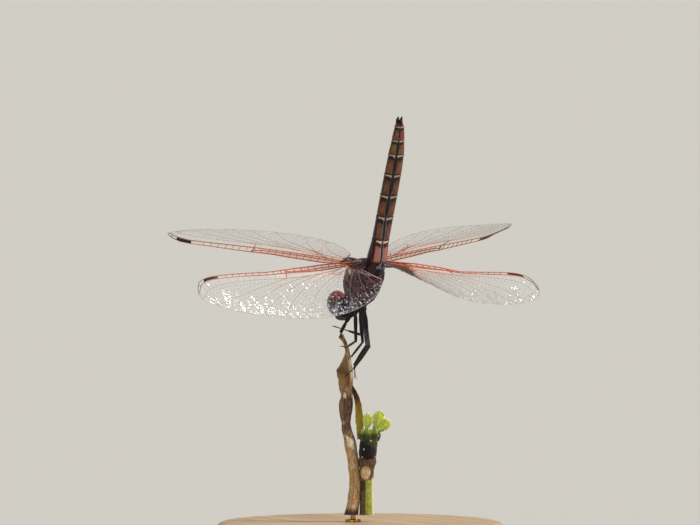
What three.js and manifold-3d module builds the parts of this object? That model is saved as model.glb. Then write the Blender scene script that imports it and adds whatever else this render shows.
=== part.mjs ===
// A dropwing dragonfly in its obelisk posture on a broken twig tip, on a small display stand.
// Millimetres. +Z is up, the insect heads along +Y and its left side is -X.
// The origin is the centre of the underside of the stand's base.
import * as THREE from 'three';
import { mergeVertices } from 'three/addons/utils/BufferGeometryUtils.js';
import Module from 'manifold-3d';

const wasm = await Module();
wasm.setup();

// ---- Driving dimensions ------------------------------------------------------------------

const BASE = { radius: 22, thickness: 5, edge: 0.7 };
const ROD = { at: [-0.9, 0.62], radius: 0.4, clearance: 0.15, top: 8.2 };
const COLLAR = { radius: 1.2, height: 0.4 };
const GAP = 0.3;                      // clearance where one piece is cut to fit another
const SEAM = 0.1;                     // clearance between pieces that meet end to end

// The waist, where the abdomen leaves the thorax, is the body's reference point.
const WAIST = new THREE.Vector3(-0.4, -5.1, 42.6);
const NOSE_DOWN = 26.5;               // degrees that the thorax tips forward

const ABDOMEN_START = 0.55;           // height of the first ring above the waist
const ABDOMEN_OFFSET = 0.25;          // the first ring's distance in front of the waist
const ABDOMEN_TILT = { root: 19.7, tip: 10 };   // degrees back from upright
const TILT_EASES_FROM = 0.66;         // share of the abdomen that keeps the root tilt
const SEGMENTS = [                    // length, half width and half depth at the far end
  { length: 0.6, width: 1.5, depth: 1.42 },
  { length: 1.6, width: 1.56, depth: 1.5 },
  { length: 3.5, width: 1.38, depth: 1.12 },
  { length: 3.8, width: 1.41, depth: 1.0 },
  { length: 3.5, width: 1.42, depth: 0.96 },
  { length: 3.4, width: 1.4, depth: 0.92 },
  { length: 3.2, width: 1.3, depth: 0.86 },
  { length: 2.2, width: 1.06, depth: 0.74 },
  { length: 2.15, width: 0.8, depth: 0.58 },
  { length: 0.5, width: 0.6, depth: 0.48 },
];
const ABDOMEN_SQUARENESS = 2.3;
const ABDOMEN_ROOT = { width: 1.4, depth: 1.3 };
const HAMULE = { share: 0.62, out: 0.38, radii: [0.34, 0.42, 0.52] };
const HAMULE_SEGMENT = 1;             // the second segment carries the paired hooks
const CERCUS = { length: 1.0, radius: 0.25, spread: 0.3, splay: 5, bulgeAt: 0.55, bulge: 0.05, back: 0.08 };
const EPIPROCT = { length: 0.65, radius: 0.26, front: 0.62, sunk: 0.1, leansBack: 0.12 };

// Wings: hinge place in the thorax's own frame (forward, up, out from the middle).
const FORE_WING = { length: 31, hinge: [3.15, 3.6, 2.75] };
const HIND_WING = { length: 29.6, hinge: [0.88, 2.61, 2.81] };
const WING_THICKNESS = 0.5;
const WING_SPANS = 19;                // flat facets from root to tip
const WING_ROOT = 0.012;              // share of the length where the blade starts
// sweep forward and lift in degrees, pitch of the blade at root, nodus and tip, bow at the tip
const WING_POSES = {
  fore_wing_left: { side: -1, shape: FORE_WING, sweep: 1.7, lift: 11.3, pitch: [4, 0, -9.3], bow: -0.008 },
  fore_wing_right: { side: 1, shape: FORE_WING, sweep: 16.8, lift: 14.9, pitch: [23, 4.6, -4.7], bow: 0 },
  hind_wing_left: {
    side: -1, shape: HIND_WING, sweep: -0.8, lift: -3.7, pitch: [-37.5, -79, -75], bow: 0.009,
  },
  hind_wing_right: { side: 1, shape: HIND_WING, sweep: 8, lift: -3.9, pitch: [-38, -57, -88], bow: 0.046 },
};
// The hinge plate at each wing's root: its chord and reach as shares of the length, its thickness.
const HINGE_PLATE = { chord: 0.042, outer: 0.03, inner: -0.065, halfThick: 0.32, taper: 0.8 };
const NODUS = 0.4;                    // share of the length where the middle pitch applies
// Outlines as shares of the wing's length: along the span, then across towards the trailing edge.
FORE_WING.leading = [[0, 0], [0.06, 0], [0.17, -0.001], [0.3, -0.003], [0.5, -0.005], [0.7, 0],
  [0.83, 0.007], [0.915, 0.026], [0.965, 0.046], [0.995, 0.075]];
FORE_WING.trailing = [[0, 0.055], [0.035, 0.098], [0.13, 0.152], [0.28, 0.2], [0.48, 0.229], [0.68, 0.223],
  [0.82, 0.198], [0.91, 0.168], [0.96, 0.143], [0.99, 0.112]];
HIND_WING.leading = [[0, 0], [0.015, 0], [0.04, 0], [0.08, 0], [0.14, 0], [0.24, -0.001], [0.41, -0.002],
  [0.6, 0], [0.77, 0.006], [0.87, 0.022], [0.935, 0.04], [0.975, 0.06], [0.994, 0.082]];
HIND_WING.trailing = [[0, 0.083], [-0.004, 0.16], [0.005, 0.265], [0.035, 0.335], [0.1, 0.367], [0.2, 0.36],
  [0.36, 0.315], [0.56, 0.258], [0.74, 0.214], [0.86, 0.178], [0.93, 0.15], [0.97, 0.128], [0.989, 0.108]];

// Thorax stations in its own frame: forward, underside, top, half width.
const THORAX = [
  [-1.15, -1.0, 0.5, 0.7], [-0.75, -1.68, 1.2, 1.21], [0.2, -2.33, 2.3, 1.63], [1.2, -2.68, 3.35, 2.0],
  [2.4, -2.81, 3.95, 2.25], [3.6, -2.79, 4.1, 2.33], [4.8, -2.82, 3.7, 2.23], [5.8, -2.69, 2.85, 2.0],
  [6.7, -2.3, 1.7, 1.63], [7.25, -1.75, 0.8, 1.16],
];
const THORAX_SQUARENESS = 2.5;        // exponent of the rounded section, 2 is an ellipse
const THORAX_SLANT = 0.2;             // how far the back slides rearwards over the underside
const THORAX_WIDENS = { back: 0.44, underside: -0.52, power: 1.5 };   // share of the width gained or lost
const SEAT = { reach: 6, wide: 0.4, deep: 0.5 };   // room left for the abdomen's root
const NECK = { from: 7.0, to: 8.05, rearHalf: [1.3, 1.15], frontHalf: [0.85, 0.8], up: -0.25 };

// Head, from its own centre: +Y forward, +Z up. It is held level.
const HEAD_CENTRE = new THREE.Vector3(0, 9.26, -4.75);
const EYE = { out: 1.2, forward: 0, up: 0.35, radii: [1.5, 1.8, 1.95] };
// Lumps on the head's middle: forward, up and radii.
const FACE_LUMPS = [
  [1.35, 0.25, [1.05, 1.0, 0.95]], [1.15, -0.85, [1.3, 1.1, 1.0]], [0.75, -1.65, [1.15, 1.05, 0.7]],
  [0.95, 1.3, [0.5, 0.5, 0.5]],
];
const REAR_LUMPS = [[-1.05, -0.15, [2.35, 0.85, 1.85]], [-0.1, -1.25, [1.75, 1.2, 0.9]]];
const FACE_CLEARANCE = 0.15;
const HEAD_ROOM = 8;                  // a block this big cuts away one side of the head
const BETWEEN_EYES = { size: [1.1, 3, 2.7], forward: 2.3, up: 0.2 };
const ANTENNA = { length: 1.5, radius: 0.25, out: 0.55, forward: 2.15, up: 0.72, way: [0.45, 0.55, 0.85] };

// Legs: hip, knee, ankle and toe, from the centre of the base's underside.
const LEGS = {
  fore_leg_left: [[-1.05, 0.15, 37.3], [-1.98, 0.75, 35.59], [-1.96, 2.4, 33.95], [-1.8, 2.72, 33.25]],
  fore_leg_right: [[0.25, 0.15, 37.3], [1.46, 2.08, 33.38], [0.1, 3.6, 33.95], [-1.53, 5.09, 34.61]],
  middle_leg_left: [[-1.35, -0.87, 37.2], [-1.85, -1.82, 32.71], [-1.35, 1.95, 31.55], [-1.55, 2.62, 31.7]],
  middle_leg_right: [[-0.3, -0.45, 37.2], [0.57, 0.22, 32.39], [0.25, 3.0, 30.1], [-0.35, 3.75, 29.5]],
  hind_leg_left: [[-1.15, -2.5, 37.9], [-0.89, -4.07, 31.86], [-0.75, 0.5, 28.5], [-1.49, 1.5, 27.41]],
  hind_leg_right: [[-0.05, -1.2, 37.45], [0.54, -1.18, 32.11], [0.25, 2.19, 28.89], [0.42, 2.25, 27.15]],
};
const LEG_RADII = {                   // at the hip, knee, ankle and toe
  fore: [0.36, 0.28, 0.25, 0.25],
  middle: [0.34, 0.3, 0.25, 0.25],
  hind: [0.44, 0.36, 0.26, 0.25],
};

// Perch: centre line and half widths of each woody part, from the base's underside.
const STEM = [
  { at: [-1.3, 3.26, 33.52], half: 0.25 }, { at: [-1.31, 3.24, 33.1], half: 0.4 },
  { at: [-1.03, 3.03, 32.5], half: 0.31 },
  { at: [-0.73, 2.79, 31.4], half: 0.34 }, { at: [-0.57, 2.57, 30.2], half: 0.33 },
  { at: [-0.49, 2.38, 29], half: 0.34 },
  { at: [-0.4, 2.26, 27.8], half: 0.38 }, { at: [-0.55, 2.12, 25.95], half: 0.5 },
  { at: [-0.87, 2.21, 24.6], half: 0.7 }, { at: [-0.96, 2.22, 23.2], half: 0.96 },
  { at: [-1.1, 2.14, 21.85], half: 0.9 }, { at: [-1.32, 2.02, 20.3], half: 0.66 },
  { at: [-1.21, 1.85, 19], half: 0.72 }, { at: [-0.9, 1.47, 17.6], half: 0.74 },
  { at: [-0.68, 1.25, 16.2], half: 0.84 },
  { at: [-0.56, 0.97, 14.7], half: 0.78 }, { at: [-0.42, 0.78, 12.9], half: 0.72 },
  { at: [-0.44, 0.55, 10.8], half: 0.74 },
  { at: [-0.56, 0.53, 9.25], half: 0.84 }, { at: [-0.82, 0.6, 7.9], half: 0.9 },
  { at: [-1.2, 0.72, 6.1], half: 1.05 },
];
const SHOOT = [
  { at: [1.02, -0.42, 14.95], half: 1.25 }, { at: [1.06, -0.42, 14], half: 1.35 },
  { at: [0.95, -0.4, 13.07], half: 1.1 },
  { at: [0.96, -0.34, 11.7], half: 1.0 }, { at: [1.16, -0.43, 10.15], half: 0.78 },
  { at: [1.08, -0.5, 8.35], half: 0.8 },
  { at: [0.85, -0.55, 6.1], half: 0.95 },
];
const BUD = [
  { at: [0.98, -0.58, 15.05], half: 1.0 }, { at: [0.98, -0.57, 15.5], half: 1.4 },
  { at: [1.03, -0.65, 17], half: 1.52 },
  { at: [1.2, -0.8, 18.4], half: 1.42 }, { at: [1.38, -0.9, 19.05], half: 1.05 },
];
const BUD_SQUARENESS = 2.5;
// Leaflets: centre, half sizes (wide, thick, long) and the lean of the tip to the right.
const LEAFLETS = {
  leaflet_left: { centre: [1.02, -0.43, 20.4], radii: [0.6, 0.28, 1.15], lean: 4 },
  leaflet_middle: { centre: [2.33, -1.3, 20.7], radii: [0.8, 0.3, 1.42], lean: 22 },
  leaflet_right: { centre: [3.2, -1.88, 19.7], radii: [0.64, 0.3, 1.08], lean: 42 },
};
const LEAFLET_TURN = -30;             // degrees that the leaflets turn about the vertical
const DRY_LEAF = [
  { at: [-0.68, 1.13, 25.7], half: 0.25 }, { at: [-0.41, 0.98, 24.8], half: 0.4 },
  { at: [0.02, 0.81, 23.4], half: 0.47 },
  { at: [0.2, 0.73, 21.9], half: 0.54 }, { at: [0.28, 0.66, 20.5], half: 0.62 },
  { at: [0.3, 0.61, 19], half: 0.5 },
  { at: [0.1, 0.64, 17.55], half: 0.25 },
];
const BARK = [
  { at: [-1.09, 2.62, 30.83], half: 0.25 }, { at: [-1.27, 2.59, 29.6], half: 0.32 },
  { at: [-1.39, 2.62, 28.85], half: 0.55 },
  { at: [-1.6, 2.69, 28.1], half: 0.84 }, { at: [-1.63, 2.6, 27.2], half: 0.74 },
  { at: [-1.66, 2.49, 26.1], half: 0.6 },
  { at: [-1.74, 2.42, 25.05], half: 0.44 }, { at: [-1.68, 2.31, 23.85], half: 0.25 },
];
const FLAT_HALF = 0.27;               // half thickness of the dry leaf and the bark
const FACING = new THREE.Vector3(0.86, -0.5, 0);   // the way the flat parts are wide

// ---- Finishes ------------------------------------------------------------------------------

const finish = (color, roughness, metalness = 0) => ({ color, roughness, metalness });
const FINISHES = {
  thorax: finish('#34201f', 0.45), abdomen: finish('#7c3138', 0.4), leg: finish('#15131a', 0.35),
  eye: finish('#5d2430', 0.15), face: finish('#4a2b2c', 0.4), wing: finish('#c9b79a', 0.2),
  twig: finish('#94704c', 0.85), leaf: finish('#a89216', 0.6), green: finish('#a9d034', 0.5),
  bud: finish('#4a4f1f', 0.8), wood: finish('#b98f60', 0.5), brass: finish('#b08a4a', 0.3, 1),
};

// ---- Frames and helpers --------------------------------------------------------------------

const radians = THREE.MathUtils.degToRad;
const lerp = THREE.MathUtils.lerp;
const vector = (x, y, z) => new THREE.Vector3(x, y, z);
const FORWARD = vector(0, Math.cos(radians(NOSE_DOWN)), -Math.sin(radians(NOSE_DOWN)));
const UP = vector(0, Math.sin(radians(NOSE_DOWN)), Math.cos(radians(NOSE_DOWN)));
const RIGHT = vector(1, 0, 0);

function onThorax(forward, up, right) {
  return WAIST.clone().addScaledVector(FORWARD, forward).addScaledVector(UP, up)
    .addScaledVector(RIGHT, right);
}

function add(group, name, geometry, finishName) {
  const mesh = new THREE.Mesh(geometry, new THREE.MeshStandardMaterial(FINISHES[finishName]));
  mesh.name = name;
  group.add(mesh);
  return mesh;
}

// Moves every vertex of a geometry to place(vertex) and keeps one vertex where faces share it.
function reshape(geometry, place) {
  const position = geometry.attributes.position;
  const vertex = new THREE.Vector3();
  for (let index = 0; index < position.count; index += 1) {
    const moved = place(vertex.fromBufferAttribute(position, index));
    position.setXYZ(index, moved.x, moved.y, moved.z);
  }
  geometry.deleteAttribute('normal');
  geometry.deleteAttribute('uv');
  const merged = mergeVertices(geometry, 1e-5);
  merged.computeVertexNormals();
  return merged;
}

// A closed body through rings. Each ring has a centre and two half-axis vectors.
// widthAt gives the share of the width that is kept at a height from -1 to 1.
function loft(rings, sides, squareness = 2, widthAt = () => 1) {
  const spans = rings.length - 1;
  const back = rings[0].centre.clone().sub(rings[spans].centre);
  const turn = new THREE.Vector3().crossVectors(rings[0].along, rings[0].across).dot(back) > 0 ? 1 : -1;
  const power = 2 / squareness;
  const rounded = (value) => Math.sign(value) * Math.abs(value) ** power;
  return reshape(new THREE.CylinderGeometry(1, 1, 1, sides, spans), (vertex) => {
    const ring = rings[Math.round((0.5 - vertex.y) * spans)];
    const height = rounded(vertex.z) * turn;
    return ring.centre.clone().addScaledVector(ring.across, rounded(vertex.x) * widthAt(height))
      .addScaledVector(ring.along, height);
  });
}

// Rings of a round or flat rod along a smooth line; wide and deep are half sizes at each knot.
function rodRings(points, wide, deep, count, acrossHint) {
  const line = new THREE.CatmullRomCurve3(points);
  const rings = [];
  for (let index = 0; index <= count; index += 1) {
    const at = index / count;
    const knot = at * (points.length - 1);
    const low = Math.min(Math.floor(knot), points.length - 2);
    const tangent = line.getTangent(at);
    const along = new THREE.Vector3().crossVectors(acrossHint, tangent).normalize();
    const across = new THREE.Vector3().crossVectors(tangent, along).normalize();
    rings.push({
      centre: line.getPoint(at),
      across: across.multiplyScalar(lerp(wide[low], wide[low + 1], knot - low)),
      along: along.multiplyScalar(lerp(deep[low], deep[low + 1], knot - low)),
    });
  }
  return rings;
}

function ellipsoid(centre, radii, widthSegments = 16, heightSegments = 10) {
  const ball = new THREE.SphereGeometry(1, widthSegments, heightSegments);
  ball.rotateX(Math.PI / 2);
  ball.scale(...radii);
  ball.translate(centre.x, centre.y, centre.z);
  return ball;
}

function toSolid(geometry) {
  const bare = geometry.clone();
  bare.deleteAttribute('normal');
  bare.deleteAttribute('uv');
  const merged = mergeVertices(bare, 1e-5);
  return new wasm.Manifold(new wasm.Mesh({
    numProp: 3,
    vertProperties: new Float32Array(merged.attributes.position.array),
    triVerts: new Uint32Array(merged.index.array),
  }));
}

// The main piece of a joined or cut solid, without slivers.
function mainPiece(solid) {
  return solid.decompose().reduce((best, piece) => (piece.volume() > best.volume() ? piece : best));
}

function toGeometry(solid) {
  const mesh = solid.getMesh();
  const geometry = new THREE.BufferGeometry();
  geometry.setAttribute('position', new THREE.BufferAttribute(new Float32Array(mesh.vertProperties), 3));
  geometry.setIndex(new THREE.BufferAttribute(new Uint32Array(mesh.triVerts), 1));
  geometry.computeVertexNormals();
  return geometry;
}

// ---- Thorax and neck -----------------------------------------------------------------------

// The abdomen's centre line, its tilt and the way it points at a distance from its first ring.
const ABDOMEN_LENGTH = SEGMENTS.reduce((sum, segment) => sum + segment.length, 0);

function abdomenTilt(distance) {
  const share = THREE.MathUtils.smoothstep(distance / ABDOMEN_LENGTH, TILT_EASES_FROM, 1);
  return radians(lerp(ABDOMEN_TILT.root, ABDOMEN_TILT.tip, share));
}

function abdomenPoint(distance) {
  const point = WAIST.clone().add(vector(0, ABDOMEN_OFFSET, ABDOMEN_START));
  const steps = 60;
  for (let step = 0; step < steps; step += 1) {
    const tilt = abdomenTilt(distance * (step + 0.5) / steps);
    point.add(vector(0, -Math.sin(tilt), Math.cos(tilt)).multiplyScalar(distance / steps));
  }
  return point;
}

function abdomenRing(distance, width, depth) {
  const tilt = abdomenTilt(distance);
  return {
    centre: abdomenPoint(distance),
    across: vector(width, 0, 0),
    along: vector(0, Math.cos(tilt), Math.sin(tilt)).multiplyScalar(-depth),
  };
}

function thoraxBody(grown) {
  const upright = UP.clone().addScaledVector(FORWARD, -THORAX_SLANT);
  const rings = THORAX.map(([forward, bottom, top, half]) => ({
    centre: onThorax(forward - THORAX_SLANT * (bottom + top) / 2, (bottom + top) / 2, 0),
    across: vector(half + grown, 0, 0),
    along: upright.clone().multiplyScalar((top - bottom) / 2 + grown),
  }));
  const widthAt = (height) => (height > 0 ? 1 + THORAX_WIDENS.back * height
    : 1 + THORAX_WIDENS.underside * (-height) ** THORAX_WIDENS.power);
  return toSolid(loft(rings, 20, THORAX_SQUARENESS, widthAt));
}

// The room that the root of the abdomen takes up.
function abdomenSeat() {
  const seat = [-GAP, SEAT.reach].map((distance) => abdomenRing(distance, ABDOMEN_ROOT.width + SEAT.wide,
    ABDOMEN_ROOT.depth + SEAT.deep));
  seat[0].centre = abdomenPoint(0).sub(abdomenPoint(1)).multiplyScalar(GAP).add(abdomenPoint(0));
  return toSolid(loft(seat, 20));
}

function addThorax(group) {
  add(group, 'thorax', toGeometry(thoraxBody(0).subtract(abdomenSeat())), 'thorax');
  const neck = [NECK.from, NECK.to].map((forward, index) => {
    const [wide, high] = index ? NECK.frontHalf : NECK.rearHalf;
    return {
      centre: onThorax(forward, NECK.up, 0),
      across: vector(wide, 0, 0),
      along: UP.clone().multiplyScalar(high),
    };
  });
  add(group, 'neck', toGeometry(toSolid(loft(neck, 14)).subtract(thoraxBody(SEAM / 2))), 'thorax');
}

// ---- Abdomen -------------------------------------------------------------------------------

function addAbdomen(group) {
  let start = 0;
  let before = ABDOMEN_ROOT;
  SEGMENTS.forEach((segment, number) => {
    const spans = Math.max(2, Math.round(segment.length / 1.2));
    const rings = [];
    for (let index = 0; index <= spans; index += 1) {
      const share = index / spans;
      const distance = start + share * (segment.length - SEAM);
      const swell = 1 + 0.02 * Math.sin(Math.PI * share);
      rings.push(abdomenRing(distance, lerp(before.width, segment.width, share) * swell,
        lerp(before.depth, segment.depth, share) * swell));
    }
    let geometry = loft(rings, 14, ABDOMEN_SQUARENESS);
    if (number === HAMULE_SEGMENT) {
      geometry = withHamules(geometry, start + segment.length * HAMULE.share, segment.depth);
    }
    add(group, `abdomen_${number + 1}`, geometry, 'abdomen');
    start += segment.length;
    before = segment;
  });
}

// The small paired hooks under the second segment.
function withHamules(geometry, distance, depth) {
  let solid = toSolid(geometry);
  const tilt = abdomenTilt(distance);
  for (const side of [-1, 1]) {
    const centre = abdomenPoint(distance).add(vector(HAMULE.out * side, 0, 0))
      .addScaledVector(vector(0, -Math.cos(tilt), -Math.sin(tilt)), depth);
    solid = solid.add(toSolid(ellipsoid(centre, HAMULE.radii, 10, 7)));
  }
  return toGeometry(solid);
}

function addAppendages(group) {
  const tip = abdomenPoint(ABDOMEN_LENGTH);
  const tilt = abdomenTilt(ABDOMEN_LENGTH);
  const out = vector(0, -Math.sin(tilt), Math.cos(tilt));
  for (const side of [-1, 1]) {
    const splay = Math.sin(radians(CERCUS.splay)) * side;
    const root = tip.clone().add(vector(CERCUS.spread * side, CERCUS.back, 0));
    const end = root.clone().addScaledVector(out, CERCUS.length).add(vector(CERCUS.length * splay, 0, 0));
    const middle = root.clone().lerp(end, CERCUS.bulgeAt).add(vector(CERCUS.bulge * side, 0, 0));
    const half = [CERCUS.radius * 0.9, CERCUS.radius, CERCUS.radius * 0.4];
    const name = side < 0 ? 'cercus_left' : 'cercus_right';
    add(group, name, loft(rodRings([root, middle, end], half, half, 4, RIGHT), 8), 'leg');
  }
  const root = tip.clone().add(vector(0, -EPIPROCT.front, -EPIPROCT.sunk));
  const end = root.clone().addScaledVector(out, EPIPROCT.length).add(vector(0, EPIPROCT.leansBack, 0));
  const half = [EPIPROCT.radius, EPIPROCT.radius * 0.7];
  add(group, 'epiproct', loft(rodRings([root, end], half, half, 2, RIGHT), 8), 'leg');
}

// ---- Head ----------------------------------------------------------------------------------

function addHead(group) {
  const centre = WAIST.clone().add(HEAD_CENTRE);
  const place = (x, y, z) => centre.clone().add(vector(x, y, z));
  const eyeBall = (side, grow) => {
    const radii = EYE.radii.map((radius) => radius + grow);
    return toSolid(ellipsoid(place(EYE.out * side, EYE.forward, EYE.up), radii, 16, 9));
  };
  const lumps = (table, grow) => table.map(([forward, up, radii]) => {
    const grown = radii.map((half) => half + grow);
    return toSolid(ellipsoid(place(0, forward, up), grown, 10, 7));
  }).reduce((whole, lump) => whole.add(lump));
  const face = lumps(FACE_LUMPS, 0);
  const rear = lumps(REAR_LUMPS, 0);
  const eyeRoom = eyeBall(-1, GAP / 2).add(eyeBall(1, GAP / 2));
  const otherSide = (side) => toSolid(new THREE.BoxGeometry(HEAD_ROOM, HEAD_ROOM, HEAD_ROOM)
    .translate(centre.x - side * (HEAD_ROOM / 2 - GAP / 4), centre.y, centre.z));
  const between = new THREE.BoxGeometry(...BETWEEN_EYES.size)
    .translate(centre.x, centre.y + BETWEEN_EYES.forward, centre.z + BETWEEN_EYES.up);
  const faceRoom = lumps(FACE_LUMPS, FACE_CLEARANCE).add(toSolid(between));
  for (const side of [-1, 1]) {
    const eye = eyeBall(side, 0).subtract(otherSide(side)).subtract(faceRoom);
    add(group, side < 0 ? 'eye_left' : 'eye_right', toGeometry(eye), 'eye');
  }
  add(group, 'face', toGeometry(face), 'face');
  const backOfHead = rear.subtract(eyeRoom).subtract(faceRoom);
  add(group, 'head', toGeometry(mainPiece(backOfHead)), 'thorax');
  for (const side of [-1, 1]) {
    const [wayOut, wayForward, wayUp] = ANTENNA.way;
    const root = place(ANTENNA.out * side, ANTENNA.forward, ANTENNA.up);
    const end = root.clone().add(vector(wayOut * side, wayForward, wayUp).setLength(ANTENNA.length));
    const half = [ANTENNA.radius, ANTENNA.radius];
    const name = side < 0 ? 'antenna_left' : 'antenna_right';
    add(group, name, loft(rodRings([root, end], half, half, 2, RIGHT), 8), 'leg');
  }
}

// ---- Wings ---------------------------------------------------------------------------------

function bladePitch([root, nodus, tip], share) {
  const at = THREE.MathUtils.clamp(share, 0, 1);
  const toRoot = (at - NODUS) * (at - 1) / NODUS;
  const toNodus = at * (at - 1) / (NODUS * (NODUS - 1));
  const toTip = at * (at - NODUS) / (1 - NODUS);
  return radians(root * toRoot + nodus * toNodus + tip * toTip);
}

function addWing(group, name, { side, shape, sweep, lift, pitch, bow }) {
  const span = RIGHT.clone().multiplyScalar(side * Math.cos(radians(sweep)) * Math.cos(radians(lift)))
    .addScaledVector(FORWARD, Math.sin(radians(sweep)) * Math.cos(radians(lift)))
    .addScaledVector(UP, Math.sin(radians(lift)));
  const flat = FORWARD.clone().negate();
  flat.addScaledVector(span, -flat.dot(span)).normalize();
  const above = new THREE.Vector3().crossVectors(span, flat).multiplyScalar(-side);
  const [hingeForward, hingeUp, hingeOut] = shape.hinge;
  const hinge = onThorax(hingeForward, hingeUp, hingeOut * side);
  const leading = new THREE.SplineCurve(shape.leading.map(([x, y]) => new THREE.Vector2(x, y)));
  const trailing = new THREE.SplineCurve(shape.trailing.map(([x, y]) => new THREE.Vector2(x, y)));
  const blade = (along, back, proud) => {
    const angle = bladePitch(pitch, along);
    const chord = flat.clone().multiplyScalar(Math.cos(angle)).addScaledVector(above, Math.sin(angle));
    const normal = above.clone().multiplyScalar(Math.cos(angle)).addScaledVector(flat, -Math.sin(angle));
    return hinge.clone().addScaledVector(span, shape.length * Math.max(along, WING_ROOT))
      .addScaledVector(chord, shape.length * back)
      .addScaledVector(above, shape.length * bow * along * along)
      .addScaledVector(normal, proud);
  };
  // The box's x runs hinge to tip, y from trailing to leading edge and z through the blade.
  const box = new THREE.BoxGeometry(1, 1, 1, WING_SPANS, 3, 1);
  const geometry = reshape(box, (vertex) => {
    const share = vertex.x + 0.5;
    const front = leading.getPoint(share);
    const rear = trailing.getPoint(share);
    const across = 0.5 - vertex.y * side;
    const point = front.lerp(rear, across);
    return blade(point.x, point.y, vertex.z * WING_THICKNESS);
  });
  const plate = [HINGE_PLATE.outer, 0, HINGE_PLATE.inner].map((share, index) => {
    const angle = bladePitch(pitch, 0);
    const chord = flat.clone().multiplyScalar(Math.cos(angle)).addScaledVector(above, Math.sin(angle));
    const normal = above.clone().multiplyScalar(Math.cos(angle)).addScaledVector(flat, -Math.sin(angle));
    const half = shape.length * HINGE_PLATE.chord / 2 * HINGE_PLATE.taper ** index;
    return {
      centre: hinge.clone().addScaledVector(span, shape.length * share).addScaledVector(chord, half),
      across: chord.multiplyScalar(half),
      along: normal.multiplyScalar(HINGE_PLATE.halfThick),
    };
  });
  const wing = toSolid(geometry).add(toSolid(loft(plate, 8)))
    .subtract(thoraxBody(SEAM / 2)).subtract(abdomenSeat());
  add(group, name, toGeometry(mainPiece(wing)), 'wing');
}

// ---- Legs ----------------------------------------------------------------------------------

function addLeg(group, name, joints, radii) {
  const points = joints.map((joint) => vector(...joint));
  ['femur', 'tibia', 'tarsus'].forEach((part, index) => {
    const start = points[index].clone();
    const end = points[index + 1].clone();
    const way = end.clone().sub(start).normalize();
    start.addScaledVector(way, index ? radii[index] + SEAM / 2 : 0);
    end.addScaledVector(way, part === 'tarsus' ? 0 : -SEAM / 2);
    const middle = start.clone().lerp(end, 0.4);
    const half = [radii[index], lerp(radii[index], radii[index + 1], 0.3), radii[index + 1]];
    const hint = Math.abs(way.x) > 0.8 ? vector(0, 1, 0) : RIGHT;
    const spans = part === 'tarsus' ? 2 : 3;
    add(group, `${name}_${part}`, loft(rodRings([start, middle, end], half, half, spans, hint), 8), 'leg');
  });
}

// ---- Perch and stand -----------------------------------------------------------------------

// Rings along a woody part, grown outwards where a neighbour is to be cut to fit it.
function woodyRings(knots, count, flatHalf, grown = 0) {
  const points = knots.map((knot) => vector(...knot.at));
  const wide = knots.map((knot) => knot.half + grown);
  const deep = flatHalf ? knots.map(() => flatHalf) : wide;
  return rodRings(points, wide, deep, count, FACING);
}

function addPerch(group) {
  const bore = ROD.radius + ROD.clearance;
  const drill = new THREE.CylinderGeometry(bore, bore, 2 * (ROD.top + ROD.clearance), 12);
  drill.rotateX(Math.PI / 2);
  drill.translate(...ROD.at, 0);
  const stem = toSolid(loft(woodyRings(STEM, 34), 9));
  const stemRoom = toSolid(loft(woodyRings(STEM, 34, 0, SEAM / 2), 9));
  const budRoom = toSolid(loft(woodyRings(BUD, 8, 0, SEAM / 2), 12, BUD_SQUARENESS));
  const fitted = (knots, count, sides, flatHalf) => toGeometry(
    toSolid(loft(woodyRings(knots, count, flatHalf), sides)).subtract(stemRoom).subtract(budRoom));
  add(group, 'perch_stem', toGeometry(stem.subtract(toSolid(drill))), 'twig');
  add(group, 'perch_shoot', fitted(SHOOT, 12, 12), 'green');
  add(group, 'perch_bark', fitted(BARK, 12, 8, FLAT_HALF), 'twig');
  add(group, 'perch_dry_leaf', fitted(DRY_LEAF, 10, 8, FLAT_HALF), 'leaf');
  add(group, 'perch_bud', loft(woodyRings(BUD, 8), 12, BUD_SQUARENESS), 'bud');
  for (const [name, { centre, radii, lean }] of Object.entries(LEAFLETS)) {
    const leaflet = ellipsoid(vector(0, 0, 0), radii, 10, 7);
    leaflet.rotateY(radians(lean));
    leaflet.rotateZ(radians(LEAFLET_TURN));
    leaflet.translate(...centre);
    add(group, name, leaflet, 'green');
  }
}

function addStand(group) {
  const { radius, thickness, edge } = BASE;
  const rim = [[0, 0], [radius - edge, 0], [radius, edge], [radius, thickness - edge],
    [radius - edge, thickness], [0, thickness]];
  const base = new THREE.LatheGeometry(rim.map(([x, y]) => new THREE.Vector2(x, y)), 48);
  base.rotateX(Math.PI / 2);
  add(group, 'stand_base', base, 'wood');
  const foot = thickness + SEAM;
  const profile = [[0, foot], [COLLAR.radius, foot], [COLLAR.radius, foot + COLLAR.height],
    [ROD.radius, foot + COLLAR.height], [ROD.radius, ROD.top], [0, ROD.top]];
  const rod = new THREE.LatheGeometry(profile.map(([x, y]) => new THREE.Vector2(x, y)), 14);
  rod.rotateX(Math.PI / 2);
  rod.translate(...ROD.at, 0);
  add(group, 'stand_rod', rod, 'brass');
}

// ---- The model -----------------------------------------------------------------------------

const dragonfly = new THREE.Group();
addHead(dragonfly);
addThorax(dragonfly);
addAbdomen(dragonfly);
addAppendages(dragonfly);
for (const [name, pose] of Object.entries(WING_POSES)) {
  addWing(dragonfly, name, pose);
}
for (const [name, joints] of Object.entries(LEGS)) {
  addLeg(dragonfly, name, joints, LEG_RADII[name.split('_')[0]]);
}
addPerch(dragonfly);
addStand(dragonfly);

export default dragonfly;
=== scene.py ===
# The looks of a dropwing dragonfly, tail up in its obelisk posture on a twig tip.
# Sizes are in millimetres and are turned into metres where a piece is made. +Z is up, the insect
# heads along +Y and its left side is -X. The origin is the centre of the underside of the base.
import math
import random

import bpy
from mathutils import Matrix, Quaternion, Vector, noise


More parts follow.
